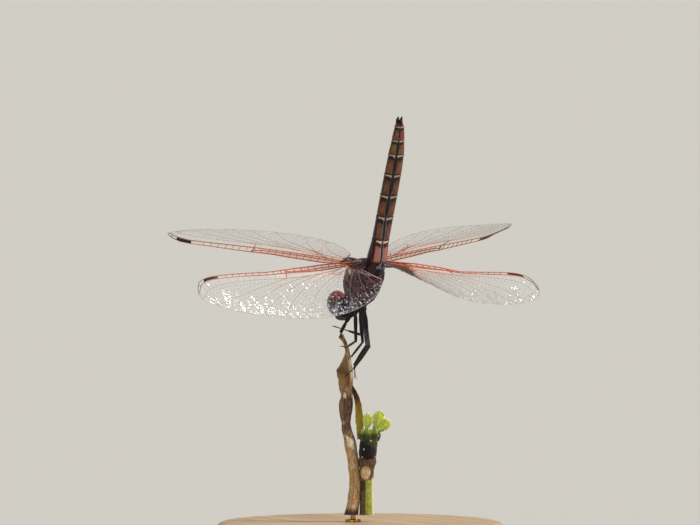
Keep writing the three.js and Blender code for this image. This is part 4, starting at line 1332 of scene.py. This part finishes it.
def mix_abdomen():
    """Red-brown plates, a dark groove under the middle, cream bars at the joints."""
    f = Finish("abdomen_shell", IOR=1.36)
    along, around, _ = f.mark("abdomen")
    share = f.calc("FRACT", along)
    segment = f.calc("FLOOR", along)
    below = f.apart(around)
    where = f.place()
    mottle = f.noise(where, 2.4, 6, 0.62)
    fine = f.noise(where, 9.0, 4, 0.6)
    wander = f.times(f.minus(mottle, 0.5), 0.12)
    from_third = f.fade(segment, 1.4, 1.9)
    from_fourth = f.fade(segment, 2.4, 2.9)
    # plate colour, a step for each segment
    step = f.calc("DIVIDE", f.plus(segment, 0.5), 10.0)
    codes = ["#20120e", "#2a1a15", "#b06a62", "#603c36", "#522f14", "#53260c", "#6c3a1a", "#734e26",
             "#6c4220", "#3a1216"]
    plate = f.shades(step, *[(number / 10, code) for number, code in enumerate(codes)])
    plate.node.color_ramp.interpolation = "CONSTANT"
    blotch = f.times(f.fade(mottle, 0.46, 0.6), f.times(from_fourth, 0.75))
    skin = f.blend(blotch, plate, "#200e08")
    ember = f.times(f.bump_band(share, 0.5, 0.14, 0.22), f.bump_band(below, 0.62, 0.1, 0.3))
    ember = f.times(ember, f.times(from_fourth, f.fade(fine, 0.4, 0.6, 0.1, 0.5)))
    skin = f.blend(ember, skin, "#9a4c1c")
    glow = f.times(f.bump_band(share, 0.32, 0.12, 0.25), f.fade(fine, 0.45, 0.62, 0.0, 0.35))
    skin = f.blend(f.times(glow, from_third), skin, "#c08a66")
    # painted red highlights near the tip, on the right side
    red_highlight = f.times(f.fade(segment, 7.4, 7.9), f.fade(around, 0.1, -0.25))
    red_highlight = f.times(red_highlight, f.fade(mottle, 0.4, 0.6, 0.15, 0.8))
    skin = f.blend(red_highlight, skin, "#8c2f3c")
    # dark edges
    outer = f.fade(f.plus(below, wander), 0.95, 1.35)
    skin = f.blend(f.times(outer, 0.75), skin, "#2a130f")
    # the black shadow under each bar and a thin one above it
    # it reaches further down at the corners than in the middle of each plate
    lobe = f.times(f.apart(below, 0.62), 0.16)
    corner = f.bump_band(f.plus(f.plus(share, wander), lobe), 0.87, 0.06, 0.1)
    corner = f.times(corner, f.times(from_third, f.fade(segment, 8.2, 8.8, 1.0, 0.4)))
    skin = f.blend(f.times(corner, 0.93), skin, "#100809")
    first = f.times(f.fade(share, 0.02, 0.09, 0.8, 0.0), from_third)
    skin = f.blend(first, skin, "#1a0e0c")
    # cream bars, deeper towards the middle and fainter towards the sides
    edge = f.minus(0.925, f.times(f.fade(below, 0.1, 0.5, 1.0, 0.0), 0.05))
    bar = f.fade(f.minus(f.plus(share, wander), edge), -0.02, 0.02)
    bar = f.times(bar, f.fade(share, 0.985, 1.0, 1.0, 0.25))
    bar = f.times(bar, f.times(from_third, f.fade(segment, 8.2, 8.9, 1.0, 0.1)))
    bar = f.times(bar, f.fade(below, 0.75, 1.3, 1.0, 0.15))
    cream = f.blend(f.fade(fine, 0.35, 0.65), "#d8b49a", "#a8826e")
    cream = f.blend(f.bump_band(segment, 2.0, 0.1, 0.2), cream, "#f2cdb0")
    skin = f.blend(bar, skin, cream)
    # the sides beyond the keels, and the back
    turn = f.plus(f.fade(segment, 2.2, 4.2, 0.74, 1.32), f.times(wander, 1.5))
    side = f.fade(f.minus(below, turn), 0.0, 0.16)
    flank = f.blend(f.fade(mottle, 0.5, 0.6), "#1c090b", "#5a141c")
    flank = f.blend(from_fourth, flank, "#2a130e")
    back = f.blend(f.fade(mottle, 0.3, 0.7), "#7a2444", "#a04868")
    spot = f.times(f.fade(segment, 6.5, 7.0), f.fade(below, 1.9, 2.3))
    back = f.blend(f.times(spot, 0.85), back, "#181018")
    back = f.blend(f.bump_band(share, 0.97, 0.02, 0.03), back, "#241018")
    over = f.blend(f.fade(below, 1.6, 2.1), flank, back)
    skin = f.blend(side, skin, over)
    # the dark groove under the middle, with grey lips that are a painted highlight along its edges
    belly = f.times(f.fade(share, 0.05, 0.35), f.fade(share, 0.6, 0.97, 1.0, 0.0))
    half = f.plus(f.fade(segment, 2.0, 4.2, 0.06, 0.15), f.fade(segment, 6.6, 8.2, 0.0, -0.09))
    half = f.plus(half, f.times(belly, f.fade(segment, 2.5, 4.5, 0.02, 0.07)))
    half = f.plus(half, f.times(wander, 0.5))
    off = f.minus(below, half)
    lip_highlight = f.fade(off, 0.03, 0.13, 1.0, 0.0)
    groove = f.fade(off, -0.03, 0.04, 1.0, 0.0)
    not_last = f.times(from_third, f.fade(segment, 8.5, 9.0, 1.0, 0.0))
    lip_highlight = f.times(lip_highlight, f.times(not_last, f.fade(segment, 2.5, 4.5, 0.5, 0.12)))
    skin = f.blend(lip_highlight, skin, "#8e8c9c")
    dark = f.blend(f.fade(fine, 0.4, 0.6), "#0b0a0d", "#1b222a")
    skin = f.blend(f.times(groove, not_last), skin, dark)
    pores = f.cells(where, 7.0, "F1")
    height = f.plus(f.times(pores, 0.6), f.times(fine, 0.6))
    f.drive(Base_Color=skin, Roughness=f.fade(mottle, 0.3, 0.7, 0.3, 0.5),
            Normal=f.relief(height, 0.35, 0.05))
    return f.material


def mix_hamules():
    """Pale lilac-grey tips on dark hooks."""
    f = Finish("hamule_shell", IOR=1.4)
    _, _, along = f.mark("abdomen")
    where = f.place()
    cloud = f.noise(where, 2.6, 6, 0.6)
    fine = f.noise(where, 11.0, 4, 0.6)
    skin = f.shades(cloud, (0.34, "#1c1218"), (0.5, "#6c6070"), (0.66, "#b8aeba"))
    skin = f.blend(f.fade(along, 1.2, 1.5), f.blend(f.fade(fine, 0.4, 0.6), "#0e0a0a", "#3a2c2e"), skin)
    f.drive(Base_Color=skin, Roughness=f.fade(fine, 0.3, 0.7, 0.35, 0.55), Normal=f.relief(fine, 0.4, 0.05))
    return f.material


def mix_shell(name, low, high, glow, rough=(0.28, 0.5), scale=2.2, pore=6.0, depth=0.06, lit=None):
    """Hard dark shell with pits, a faint bloom and worn paler ridges; lit is a painted patch of light at a
    height.
    """
    f = Finish(name, IOR=1.36)
    where = f.place()
    mottle = f.noise(where, scale, 6, 0.6, 0.3)
    fine = f.noise(where, scale * 5, 4, 0.6)
    skin = f.blend(f.fade(mottle, 0.35, 0.66), low, high)
    bloom = f.times(f.fade(fine, 0.52, 0.72), 0.4)
    skin = f.blend(bloom, skin, glow)
    if lit:
        # painted light: a streaked paler patch at a height, where light falls on the piece
        level, reach, code = lit
        light_streaks = f.noise(f.place((1, 1, 0.2)), 5.0, 3, 0.6)
        patch = f.times(f.bump_band(f.split(where)[2], level, reach, 0.4), f.fade(light_streaks, 0.38, 0.6))
        skin = f.blend(patch, skin, code)
    pits = f.cells(where, pore, "F1")
    height = f.plus(f.times(pits, 0.7), f.times(fine, 0.5))
    f.drive(Base_Color=skin, Roughness=f.fade(fine, 0.3, 0.7, *rough), Normal=f.relief(height, 0.5, depth))
    return f.material


def mix_thorax():
    """Maroon-black sides with a violet bloom, an olive rear and pale marks beside the wings."""
    f = Finish("thorax_shell", IOR=1.38)
    forward, up, side = f.mark("thorax")
    where = f.place()
    mottle = f.noise(where, 1.1, 6, 0.6, 0.4)
    fine = f.noise(where, 7.0, 5, 0.6)
    skin = f.shades(mottle, (0.32, "#090406"), (0.5, "#1a0a0b"), (0.66, "#3a131a"))
    violet = f.times(f.fade(up, -0.2, 0.8), f.fade(fine, 0.45, 0.65))
    skin = f.blend(f.times(violet, 0.3), skin, "#4a3046")
    olive = f.times(f.fade(forward, 2.0, 0.4, 0.0, 1.0), f.fade(side, -0.5, 0.3))
    olive = f.times(olive, f.fade(mottle, 0.42, 0.56))
    skin = f.blend(f.times(olive, 0.7), skin, "#33261a")
    streak = f.times(f.bump_band(forward, 3.05, 0.22, 0.2), f.bump_band(up, 0.45, 0.1, 0.16))
    streak = f.times(streak, f.fade(side, -0.5, -0.8))
    skin = f.blend(streak, skin, "#d8c078")
    seams = f.fade(f.cells(f.place((0.7, 0.7, 0.7)), 0.62), 0.0, 0.035, 0.7, 0.0)
    skin = f.blend(seams, skin, "#8a2f38")
    height = f.plus(f.times(f.cells(where, 5.0, "F1"), 0.6), fine)
    f.drive(Base_Color=skin, Roughness=f.fade(fine, 0.3, 0.7, 0.3, 0.5), Normal=f.relief(height, 0.5, 0.08))
    return f.material


def mix_eye():
    """Dark red above, slate lilac below, with fine facets and a warm streak at the rear."""
    f = Finish("eye_facets", IOR=1.42, Coat_Weight=0.5, Coat_Roughness=0.1)
    side, forward, up = f.mark("eye")
    where = f.place()
    mottle = f.noise(where, 1.6, 4, 0.5)
    level = f.plus(up, f.times(f.minus(mottle, 0.5), 0.5))
    skin = f.shades(f.fade(level, -0.9, 0.9), (0.0, "#12141c"), (0.3, "#2c324a"),
                    (0.6, "#16121e"), (0.74, "#5c101c"), (1.0, "#861824"))
    bands = f.noise(f.place((2.2, 0.6, 0.5)), 1.2, 3, 0.5)
    skin = f.blend(f.times(f.fade(bands, 0.52, 0.62), f.fade(level, 0.1, -0.2)), skin, "#17141c")
    streak = f.times(f.bump_band(forward, -0.72, 0.02, 0.05), f.bump_band(up, -0.4, 0.3, 0.15))
    skin = f.blend(f.times(streak, f.fade(side, -0.2, 0.2)), skin, "#d88a6c")
    facets = f.cells(where, 14.0, "F1", 0.35)
    height = f.minus(1.0, facets)
    f.drive(Base_Color=skin, Roughness=f.fade(mottle, 0.3, 0.7, 0.2, 0.32),
            Normal=f.relief(height, 0.35, 0.03))
    return f.material


def mix_wing_rods(name, stops, fold="#a8727c"):
    """Veins, their colour running from the leading edge back and from the root outwards."""
    f = Finish(name, IOR=1.4)
    along, back, _ = f.mark("wing")
    where = f.place()
    mottle = f.noise(where, 3.0, 4, 0.6)
    reach = f.plus(back, f.times(along, 0.16))
    reach = f.plus(reach, f.times(f.minus(mottle, 0.5), 0.05))
    skin = f.shades(f.fade(reach, 0.0, 0.4), *stops)
    outer = f.times(f.fade(along, 0.9, 0.94), 0.8)
    skin = f.blend(outer, skin, "#6c5a4c")
    folded = f.times(f.fade(along, 0.17, 0.1), f.fade(back, 0.035, 0.07))
    skin = f.blend(f.times(folded, 0.85), skin, fold)
    f.drive(Base_Color=skin, Roughness=f.fade(mottle, 0.3, 0.7, 0.3, 0.45),
            Normal=f.relief(f.noise(where, 20.0, 3, 0.5), 0.3, 0.02))
    return f.material


def mix_membrane(name, patch_along, patch_back, patch, depth, chord=(0.24, 0.0), painted_glints=0.0):
    """A clear film that glints cell by cell, amber at the root and orange along the front.

    chord is the wing's breadth at the root and how much of it is lost by the tip, painted_glints the
    amount of painted glints, white streaks and dots, in the fold next to the body and beyond it."""
    f = Finish(name, IOR=1.5)
    along, back, _ = f.mark("wing")
    where = f.place()
    mottle = f.noise(where, 0.8, 4, 0.6)
    fine = f.noise(where, 2.5, 3, 0.6)
    reach = f.plus(f.calc("DIVIDE", along, patch_along), f.calc("DIVIDE", back, patch_back))
    reach = f.plus(reach, f.times(f.minus(mottle, 0.5), 0.5))
    amber = f.fade(reach, 0.85, 1.1, 1.0, 0.0)
    rim = f.times(f.bump_band(reach, 1.06, 0.03, 0.12), 0.7)
    front = f.times(f.fade(back, 0.02, 0.05, 0.7, 0.0), f.fade(along, 0.3, 0.55, 1.0, 0.05))
    near = f.times(f.fade(along, 0.1, 0.35, 0.3, 0.0), f.fade(back, 0.05, 0.16, 1.0, 0.0))
    warm = f.calc("MAXIMUM", f.calc("MAXIMUM", front, near), rim)
    skin = f.blend(warm, "#f2efe8", "#d97a40")
    skin = f.blend(amber, skin, f.blend(f.fade(fine, 0.4, 0.6), patch, "#2a1a18"))
    stain = f.plus(f.times(amber, depth), f.times(warm, 0.34), clamp=True)
    gloss = f.add("Fresnel", inputs={"IOR": 1.5})
    sheen = f.calc("MINIMUM", f.times(gloss, 0.95), 0.08)
    # only some cells lie at the angle that catches the light, more of them towards the rear edge
    breadth = f.minus(chord[0], f.times(along, chord[1]))
    rear = f.calc("DIVIDE", back, breadth)
    rows = f.noise(f.stretched_mark("wing", (30, 13, 0)), 1.0, 2, 0.5)
    chance = f.plus(rows, f.times(f.minus(rear, 0.75), 0.3))
    catches = f.times(f.fade(chance, 0.5, 0.56), f.fade(rear, 0.1, 0.25))
    crinkle = f.noise(where, 1.5, 2, 0.5)
    sheen = f.times(sheen, f.fade(catches, 0.0, 1.0, 0.12, 1.0))
    sheen = f.times(sheen, f.fade(along, 0.12, 0.3, 0.5, 1.0))
    shine_off = f.fade(catches, 0.0, 1.0, 0.5, 0.13)
    # painted glints: white streaks square to the rear edge, which break up into dots away from it
    glint_streaks = f.noise(f.stretched_mark("wing", (135, 42, 0)), 1.0, 2, 0.5)
    nearer = f.times(f.minus(rear, 0.9), 0.35)
    inner = f.minus(rear, f.times(along, 0.9))
    fold = f.times(f.fade(inner, 0.5, 0.7), f.fade(along, 0.32, 0.26))
    white = f.fade(f.plus(glint_streaks, nearer), 0.56, 0.63)
    white = f.times(white, f.times(fold, painted_glints))
    # beyond the fold the painted glints are small white dots, more of them towards the rear edge
    glint_dots = f.noise(f.stretched_mark("wing", (95, 60, 0)), 1.0, 2, 0.5)
    open_film = f.times(f.bump_band(along, 0.34, 0.1, 0.1), f.fade(rear, 0.3, 0.5))
    glint_dots = f.fade(f.plus(glint_dots, f.times(nearer, 0.6)), 0.57, 0.61)
    glint_dots = f.times(glint_dots, f.times(open_film, painted_glints))
    white = f.calc("MAXIMUM", white, glint_dots)
    # the white of the painted glints
    glint_white = f.blend(f.fade(fine, 0.42, 0.6), "#a7a2b4", "#f4f0fa")
    glint_white = f.blend(f.fade(along, 0.26, 0.34), glint_white, "#fffdf2")
    skin = f.blend(f.fade(white, 0.0, 0.2), skin, glint_white)
    cover = f.plus(f.plus(stain, sheen), white, clamp=True)
    metal = f.times(f.fade(stain, 0.0, 0.16, 1.0, 0.0), f.fade(white, 0.0, 0.1, 1.0, 0.0))
    f.drive(Base_Color=skin, Roughness=shine_off, Metallic=metal, Normal=f.relief(crinkle, 1.0, 0.3))
    clear = f.tree.nodes.new("ShaderNodeBsdfTransparent")
    mixed = f.tree.nodes.new("ShaderNodeMixShader")
    f.feed(mixed.inputs[0], cover)
    f.feed(mixed.inputs[1], clear.outputs[0])
    f.feed(mixed.inputs[2], f.shader.outputs[0])
    f.feed(f.tree.nodes["Material Output"].inputs["Surface"], mixed.outputs[0])
    return f.material


def mix_bark():
    """Weathered tan bark, peeled pale in places."""
    f = Finish("twig_bark", IOR=1.45)
    side, _, height = f.mark("twig")
    where = f.place((1, 1, 0.22))
    fibre = f.noise(where, 4.0, 8, 0.65, 0.6)
    patch = f.noise(f.place((1, 1, 0.6)), 0.55, 4, 0.55, 0.5)
    skin = f.shades(fibre, (0.25, "#4c3326"), (0.45, "#8d6645"), (0.6, "#b08a62"), (0.8, "#cdb08a"))
    tan = f.shades(fibre, (0.25, "#8a6238"), (0.42, "#bc9262"), (0.58, "#d2ac7c"), (0.8, "#e6cca0"))
    skin = f.blend(f.fade(f.plus(height, f.times(patch, 2.0)), 19.0, 17.2), skin, tan)
    skin = f.blend(f.fade(patch, 0.52, 0.62, 0.0, 0.7), skin, "#d9c3a0")
    green = f.bump_band(height, 32.6, 0.6, 0.7)
    skin = f.blend(f.times(green, 0.5), skin, "#8a8a4c")
    slope = f.plus(height, f.times(side, 0.7))
    peel = f.times(f.bump_band(slope, 17.1, 0.7, 0.25), f.bump_band(side, 0.05, 0.5, 0.25))
    skin = f.blend(peel, skin, "#efd9b6")
    foot = f.fade(height, 7.6, 6.4)
    skin = f.blend(foot, skin, "#4a343c")
    # a painted shadow down one side of the stem, beside the dry leaf
    painted_shadow = f.times(f.bump_band(height, 21.4, 2.2, 0.8), f.fade(side, -0.7, 0.1, 0.15, 0.8))
    skin = f.blend(painted_shadow, skin, f.blend(f.fade(fibre, 0.4, 0.6), "#2a161c", "#5c3a2c"))
    cracks = f.fade(f.cells(where, 1.6), 0.0, 0.07, 1.0, 0.0)
    skin = f.blend(f.times(cracks, f.fade(height, 16.5, 20.0, 0.25, 0.5)), skin, "#2c1c14")
    chip = f.times(f.bump_band(slope, 23.95, 0.25, 0.15), f.bump_band(side, -0.45, 0.2, 0.12))
    skin = f.blend(chip, skin, "#f3e2c8")
    lift = f.minus(fibre, f.times(cracks, 0.6))
    f.drive(Base_Color=skin, Roughness=f.fade(fibre, 0.3, 0.7, 0.9, 0.7), Normal=f.relief(lift, 0.9, 0.14))
    return f.material


def mix_shoot():
    """Brown above with a cream scar, a dark strip of painted shadow under the scar, a live yellow-green strip
    below.
    """
    f = Finish("twig_shoot", IOR=1.45)
    side, _, height = f.mark("twig")
    where = f.place((1, 1, 0.3))
    fibre = f.noise(where, 4.5, 7, 0.6, 0.4)
    green = f.shades(fibre, (0.3, "#6d7a24"), (0.55, "#a8ac44"), (0.75, "#c9c878"))
    brown = f.shades(fibre, (0.3, "#2e1e16"), (0.55, "#6a4a34"), (0.75, "#a08460"))
    skin = f.blend(f.fade(height, 11.2, 11.6), green, brown)
    tall = f.calc("POWER", f.calc("DIVIDE", f.minus(height, 12.5), 1.05), 2.0)
    wide = f.calc("POWER", f.calc("DIVIDE", f.plus(side, 0.14), 0.72), 2.0)
    scar = f.fade(f.plus(f.plus(tall, wide), f.times(fibre, 1.1)), 1.2, 1.75, 1.0, 0.0)
    pith = f.blend(f.fade(fibre, 0.35, 0.65), "#b98e58", "#ecd8ac")
    skin = f.blend(scar, skin, pith)
    # painted shadow down one side below the scar: dark at the top, olive with pale flecks lower down
    painted_shadow_strip = f.times(f.fade(side, -0.05, -0.3), f.fade(height, 11.7, 11.2))
    low = f.fade(height, 10.2, 9.2)
    pale = f.fade(f.cells(f.place(), 3.2, "F1"), 0.1, 0.22, 1.0, 0.0)
    gap = f.blend(low, "#1d1510", f.blend(pale, "#54452a", "#b4ac80"))
    skin = f.blend(f.times(painted_shadow_strip, 0.92), skin, gap)
    rim = f.times(f.fade(side, 0.72, 0.86), f.fade(height, 12.0, 11.4))
    skin = f.blend(rim, skin, "#e2e0b8")
    specks = f.fade(f.cells(f.place(), 2.4, "F1"), 0.06, 0.14, 1.0, 0.0)
    skin = f.blend(f.times(specks, 0.7), skin, "#3c3018")
    f.drive(Base_Color=skin, Roughness=f.fade(fibre, 0.3, 0.7, 0.8, 0.6), Normal=f.relief(fibre, 0.7, 0.1))
    return f.material


def mix_dry_leaf(name, stops, low, high):
    """A dry blade, its colour running along its height."""
    f = Finish(name, IOR=1.45)
    side, _, height = f.mark("twig")
    where = f.place((1, 1, 0.16))
    fibre = f.noise(where, 5.0, 7, 0.6, 0.3)
    blot = f.noise(f.place(), 1.2, 5, 0.6)
    level = f.plus(height, f.times(f.minus(blot, 0.5), 2.5))
    skin = f.shades(f.fade(level, low, high), *stops)
    skin = f.blend(f.fade(fibre, 0.42, 0.68, 0.0, 0.45), skin, "#3a2214")
    rim = f.fade(f.apart(side), 0.9, 1.0)
    skin = f.blend(f.times(rim, 0.35), skin, "#e4cf9a")
    f.drive(Base_Color=skin, Roughness=f.fade(fibre, 0.3, 0.7, 0.6, 0.85),
            Normal=f.relief(fibre, 0.8, 0.12))
    return f.material


def mix_bud():
    """Grey-green fuzz with white tips and a brown foot."""
    f = Finish("bud_fuzz", IOR=1.4, Sheen_Weight=0.12, Sheen_Roughness=0.5)
    side, _, height = f.mark("twig")
    where = f.place()
    fuzz = f.noise(f.place((1, 1, 0.5)), 9.0, 6, 0.7)
    skin = f.shades(fuzz, (0.3, "#141a0a"), (0.5, "#38421c"), (0.68, "#6c7440"), (0.8, "#a8ae82"))
    low = f.plus(height, f.times(side, 0.7))
    foot = f.fade(low, 17.6, 16.4)
    skin = f.blend(foot, skin, f.shades(fuzz, (0.3, "#060505"), (0.6, "#15110f"), (0.78, "#5a5262")))
    fresh = f.fade(height, 18.2, 18.9)
    skin = f.blend(f.times(fresh, 0.8), skin, "#9fb83e")
    white = f.fade(f.cells(where, 1.1, "F1"), 0.1, 0.2, 1.0, 0.0)
    skin = f.blend(f.times(white, 0.8), skin, "#e9ecd6")
    f.drive(Base_Color=skin, Roughness=f.fade(fuzz, 0.3, 0.7, 0.95, 0.8), Normal=f.relief(fuzz, 1.0, 0.16))
    return f.material


def mix_leaflet():
    """Bright young leaf: yellow green with a pale rim and midrib."""
    f = Finish("leaflet_green", IOR=1.45, Subsurface_Weight=0.15, Subsurface_Scale=0.0006)
    side, _, spread = f.mark("leaf")
    where = f.place()
    blot = f.noise(where, 1.6, 5, 0.6)
    skin = f.shades(blot, (0.3, "#98ac18"), (0.5, "#bccc30"), (0.7, "#d6e254"))
    rib = f.fade(f.apart(side), 0.03, 0.12, 1.0, 0.0)
    net = f.fade(f.cells(where, 3.2), 0.0, 0.06, 1.0, 0.0)
    skin = f.blend(f.times(net, 0.3), skin, "#eaf2a8")
    skin = f.blend(f.times(rib, 0.25), skin, "#eef4b8")
    rim = f.fade(f.plus(spread, f.times(blot, 0.16)), 0.86, 1.02)
    skin = f.blend(rim, skin, "#f4f8d4")
    f.drive(Base_Color=skin, Roughness=f.fade(blot, 0.3, 0.7, 0.35, 0.5), Normal=f.relief(blot, 0.4, 0.08))
    return f.material


def mix_maple():
    """Oiled pale maple: straight grain, flecks and a soft edge."""
    f = Finish("stand_maple", IOR=1.5, Coat_Weight=0.25, Coat_Roughness=0.25)
    where = f.place((1, 0.12, 1))
    bend = f.noise(f.place(), 0.06, 2, 0.5)
    grain = f.add("TexWave", {"wave_type": "RINGS", "rings_direction": "Y"},
                  {"Vector": f.place((1, 0.08, 1)), "Scale": 0.09, "Distortion": 5.0, "Detail": 3.0,
                   "Detail Scale": 0.8})
    pores = f.noise(where, 2.6, 6, 0.6)
    skin = f.blend(f.times(grain, f.fade(bend, 0.3, 0.7, 0.35, 0.75)), "#dcbb8c", "#c19763")
    skin = f.blend(f.fade(pores, 0.5, 0.75, 0.0, 0.4), skin, "#a67a4a")
    f.drive(Base_Color=skin, Roughness=f.fade(pores, 0.3, 0.7, 0.34, 0.5),
            Normal=f.relief(pores, 0.25, 0.05))
    return f.material


def mix_brass():
    f = Finish("stand_brass", Metallic=1.0)
    where = f.place((1, 1, 0.05))
    brushed = f.noise(where, 12.0, 5, 0.6)
    age = f.noise(f.place(), 0.6, 4, 0.6)
    skin = f.blend(f.fade(age, 0.35, 0.7), "#c9a24e", "#9c7432")
    f.drive(Base_Color=skin, Roughness=f.fade(brushed, 0.3, 0.7, 0.2, 0.38),
            Normal=f.relief(brushed, 0.2, 0.02))
    return f.material


# ---- The camera ------------------------------------------------------------------------------

# It stands far off, behind the insect, to its left and a little above it, with a long lens.
AIM = Vector((-3.61, -3.07, 44.8))
VIEW = Vector((0.508, 0.860, -0.0523)).normalized()
AWAY = 3000
camera_data = bpy.data.cameras.new("camera")
camera = bpy.data.objects.new("camera", camera_data)
bpy.context.scene.collection.objects.link(camera)
camera.location = (AIM - VIEW * AWAY) * MM
camera.rotation_euler = VIEW.to_track_quat("-Z", "Y").to_euler()
camera_data.sensor_width = 36
camera_data.lens = 1015
camera_data.clip_start = 0.1
camera_data.clip_end = 200
bpy.context.scene.camera = camera

# ---- Making and finishing every piece --------------------------------------------------------

shell = mix_abdomen()
dark_shell = mix_shell("dark_shell", "#060506", "#140e0f", "#30262a")
leg_shell = mix_shell("leg_shell", "#050406", "#0e0c10", "#2e2a38", (0.25, 0.42), 3.0, 9.0, 0.03)
face_shell = mix_shell("face_shell", "#1e0f0b", "#3a2118", "#6a4a34", (0.3, 0.5), 1.6, 8.0, 0.03)
head_shell = mix_shell("head_shell", "#0d0808", "#24140f", "#4a3a30")
thorax_shell = mix_thorax()
eye_facets = mix_eye()
vein_finish = mix_wing_rods("wing_vein", [(0.0, "#cf5a26"), (0.16, "#d0622e"), (0.27, "#b87a54"),
                                          (0.45, "#a08a74"), (1.0, "#908878")])
folded_veins = mix_wing_rods("folded_wing_vein", [(0.0, "#cf5a26"), (0.2, "#d0622e"), (0.36, "#bc8060"),
                                                  (0.6, "#a08a74"), (1.0, "#908878")], "#5a3a32")
net_finish = mix_wing_rods("wing_net", [(0.0, "#38200f"), (0.2, "#4a2e1a"), (0.35, "#8a5a3c"),
                                        (0.6, "#8a7460"), (1.0, "#8c8272")])
films = {
    "fore_wing_left": mix_membrane("fore_left_membrane", 0.035, 0.2, "#a0622c", 0.4),
    "fore_wing_right": mix_membrane("fore_right_membrane", 0.035, 0.2, "#a0622c", 0.4),
    "hind_wing_left": mix_membrane("hind_left_membrane", 0.05, 0.3, "#5c3a34", 0.35, (0.4, 0.25), 0.8),
    "hind_wing_right": mix_membrane("hind_right_membrane", 0.16, 0.4, "#50342a", 0.92, (0.4, 0.25), 0.3),
}
# the wings' edges are painted pale grey to white, a painted highlight along them
hem_highlight_finish = mix_shell("wing_hem", "#a8a09c", "#d8d4d0", "#f4f2ee", (0.2, 0.35), 1.2, 9.0, 0.02)
stigma_finish = mix_shell("wing_stigma", "#1a0b0e", "#44161c", "#6a2a30", (0.3, 0.45), 3.0, 9.0, 0.02)
base_finish = mix_shell("wing_base_plates", "#3c2428", "#74525a", "#b09aa4", (0.35, 0.5), 2.0, 7.0, 0.04)

finish_piece(build_abdomen(), shell, [f"abdomen_{number}" for number in range(1, 11)])
finish_piece(build_hamules(), mix_hamules())
finish_piece(build_tail(), dark_shell, ["cercus_left", "cercus_right", "epiproct"])
thorax, neck = build_thorax()
finish_piece(thorax, thorax_shell, ["thorax"])
finish_piece(neck, head_shell, ["neck"])
for side, label in ((-1, "left"), (1, "right")):
    finish_piece(build_eye(side), eye_facets, [f"eye_{label}"])
finish_piece(build_face(), face_shell, ["face"])
finish_piece(build_head_back(), head_shell, ["head"])
finish_piece(build_antennae(), leg_shell, ["antenna_left", "antenna_right"])
# the left hind leg gets a painted patch of light on its thigh
lit_leg = mix_shell("lit_leg_shell", "#050406", "#0e0c10", "#2e2a38", (0.25, 0.42), 3.0, 9.0, 0.03,
                    lit=(33.4, 1.1, "#565460"))
for name, joints in LEGS.items():
    leg_finish = lit_leg if name == "hind_leg_left" else leg_shell
    finish_piece(build_leg(name, joints), leg_finish, [f"{name}_{part}" for part in LEG_PARTS])

for name, setting in WINGS.items():
    film, net, rods, spot, hem = build_wing(name + "_film", setting)
    finish_piece(film, films[name], [name])
    finish_piece(net, net_finish)
    finish_piece(rods, folded_veins if name == "hind_wing_right" else vein_finish)
    finish_piece(spot, stigma_finish)
    finish_piece(hem, hem_highlight_finish)
    finish_piece(wing_base(name + "_base", setting), base_finish)

stem = build_woody("stem_bark", STEM, 48, 420, 0.1, 3, STEM_BUMPS)
finish_piece(stem, mix_bark(), ["perch_stem"])
finish_piece(build_woody("shoot_bark", SHOOT, 48, 180, 0.09, 17), mix_shoot(), ["perch_shoot"])
finish_piece(build_bud(), mix_bud(), ["perch_bud"])
flap_finish = mix_dry_leaf("bark_flap", [(0.0, "#b08c58"), (0.35, "#94703e"), (0.6, "#6a4c26"),
                                         (1.0, "#a88a50")], 24, 31)
finish_piece(build_flap("bark_flap", BARK, 0.14, 0.12, 0.12, 5), flap_finish, ["perch_bark"])
dry_finish = mix_dry_leaf("dry_leaf", [(0.0, "#a8902a"), (0.3, "#9c8a08"), (0.66, "#94780c"),
                                       (0.84, "#5c2c12"), (1.0, "#3a1410")], 17.5, 25.7)
finish_piece(build_flap("dry_leaf_blade", DRY_LEAF, 0.12, 0.1, 0.08, 23), dry_finish,
             ["perch_dry_leaf"])
leaf_green = mix_leaflet()
for name, (centre, wide, high, lean) in LEAFLETS.items():
    finish_piece(build_leaflet(name + "_blade", centre, wide, high, lean), leaf_green, [name])
disc, rod = build_stand()
finish_piece(disc, mix_maple(), ["stand_base"])
finish_piece(rod, mix_brass(), ["stand_rod"])

# ---- Floor and light -------------------------------------------------------------------------

let_go()
bpy.ops.mesh.primitive_plane_add(size=60, location=(0, 0, -0.00002))
floor = settle(new_piece("floor"))
paper = Finish("floor_paper", Roughness=0.85, IOR=1.3)
paper.drive(Base_Color=paper.blend(paper.noise(paper.place(), 0.4, 3, 0.5), "#cfcdc8", "#d3d1cc"))
floor.data.materials.append(paper.material)


def shine(name, energy, angle, towards, colour="#ffffff"):
    data = bpy.data.lights.new(name, "SUN")
    data.energy = energy
    data.angle = math.radians(angle)
    data.color = tint(colour)[:3]
    light = bpy.data.objects.new(name, data)
    bpy.context.scene.collection.objects.link(light)
    light.rotation_euler = Vector(towards).to_track_quat("-Z", "Y").to_euler()


shine("key", 2.5, 5, (-0.52, 0.38, -0.765), "#fffaf0")
shine("fill", 0.5, 40, (0.7, 0.6, -0.5), "#f4f6ff")

world = bpy.data.worlds.new("studio")
world.use_nodes = True
world.node_tree.nodes["Background"].inputs["Color"].default_value = tint("#eef0f2")
world.node_tree.nodes["Background"].inputs["Strength"].default_value = 0.4
bpy.context.scene.world = world
bpy.context.scene.view_settings.view_transform = "Standard"
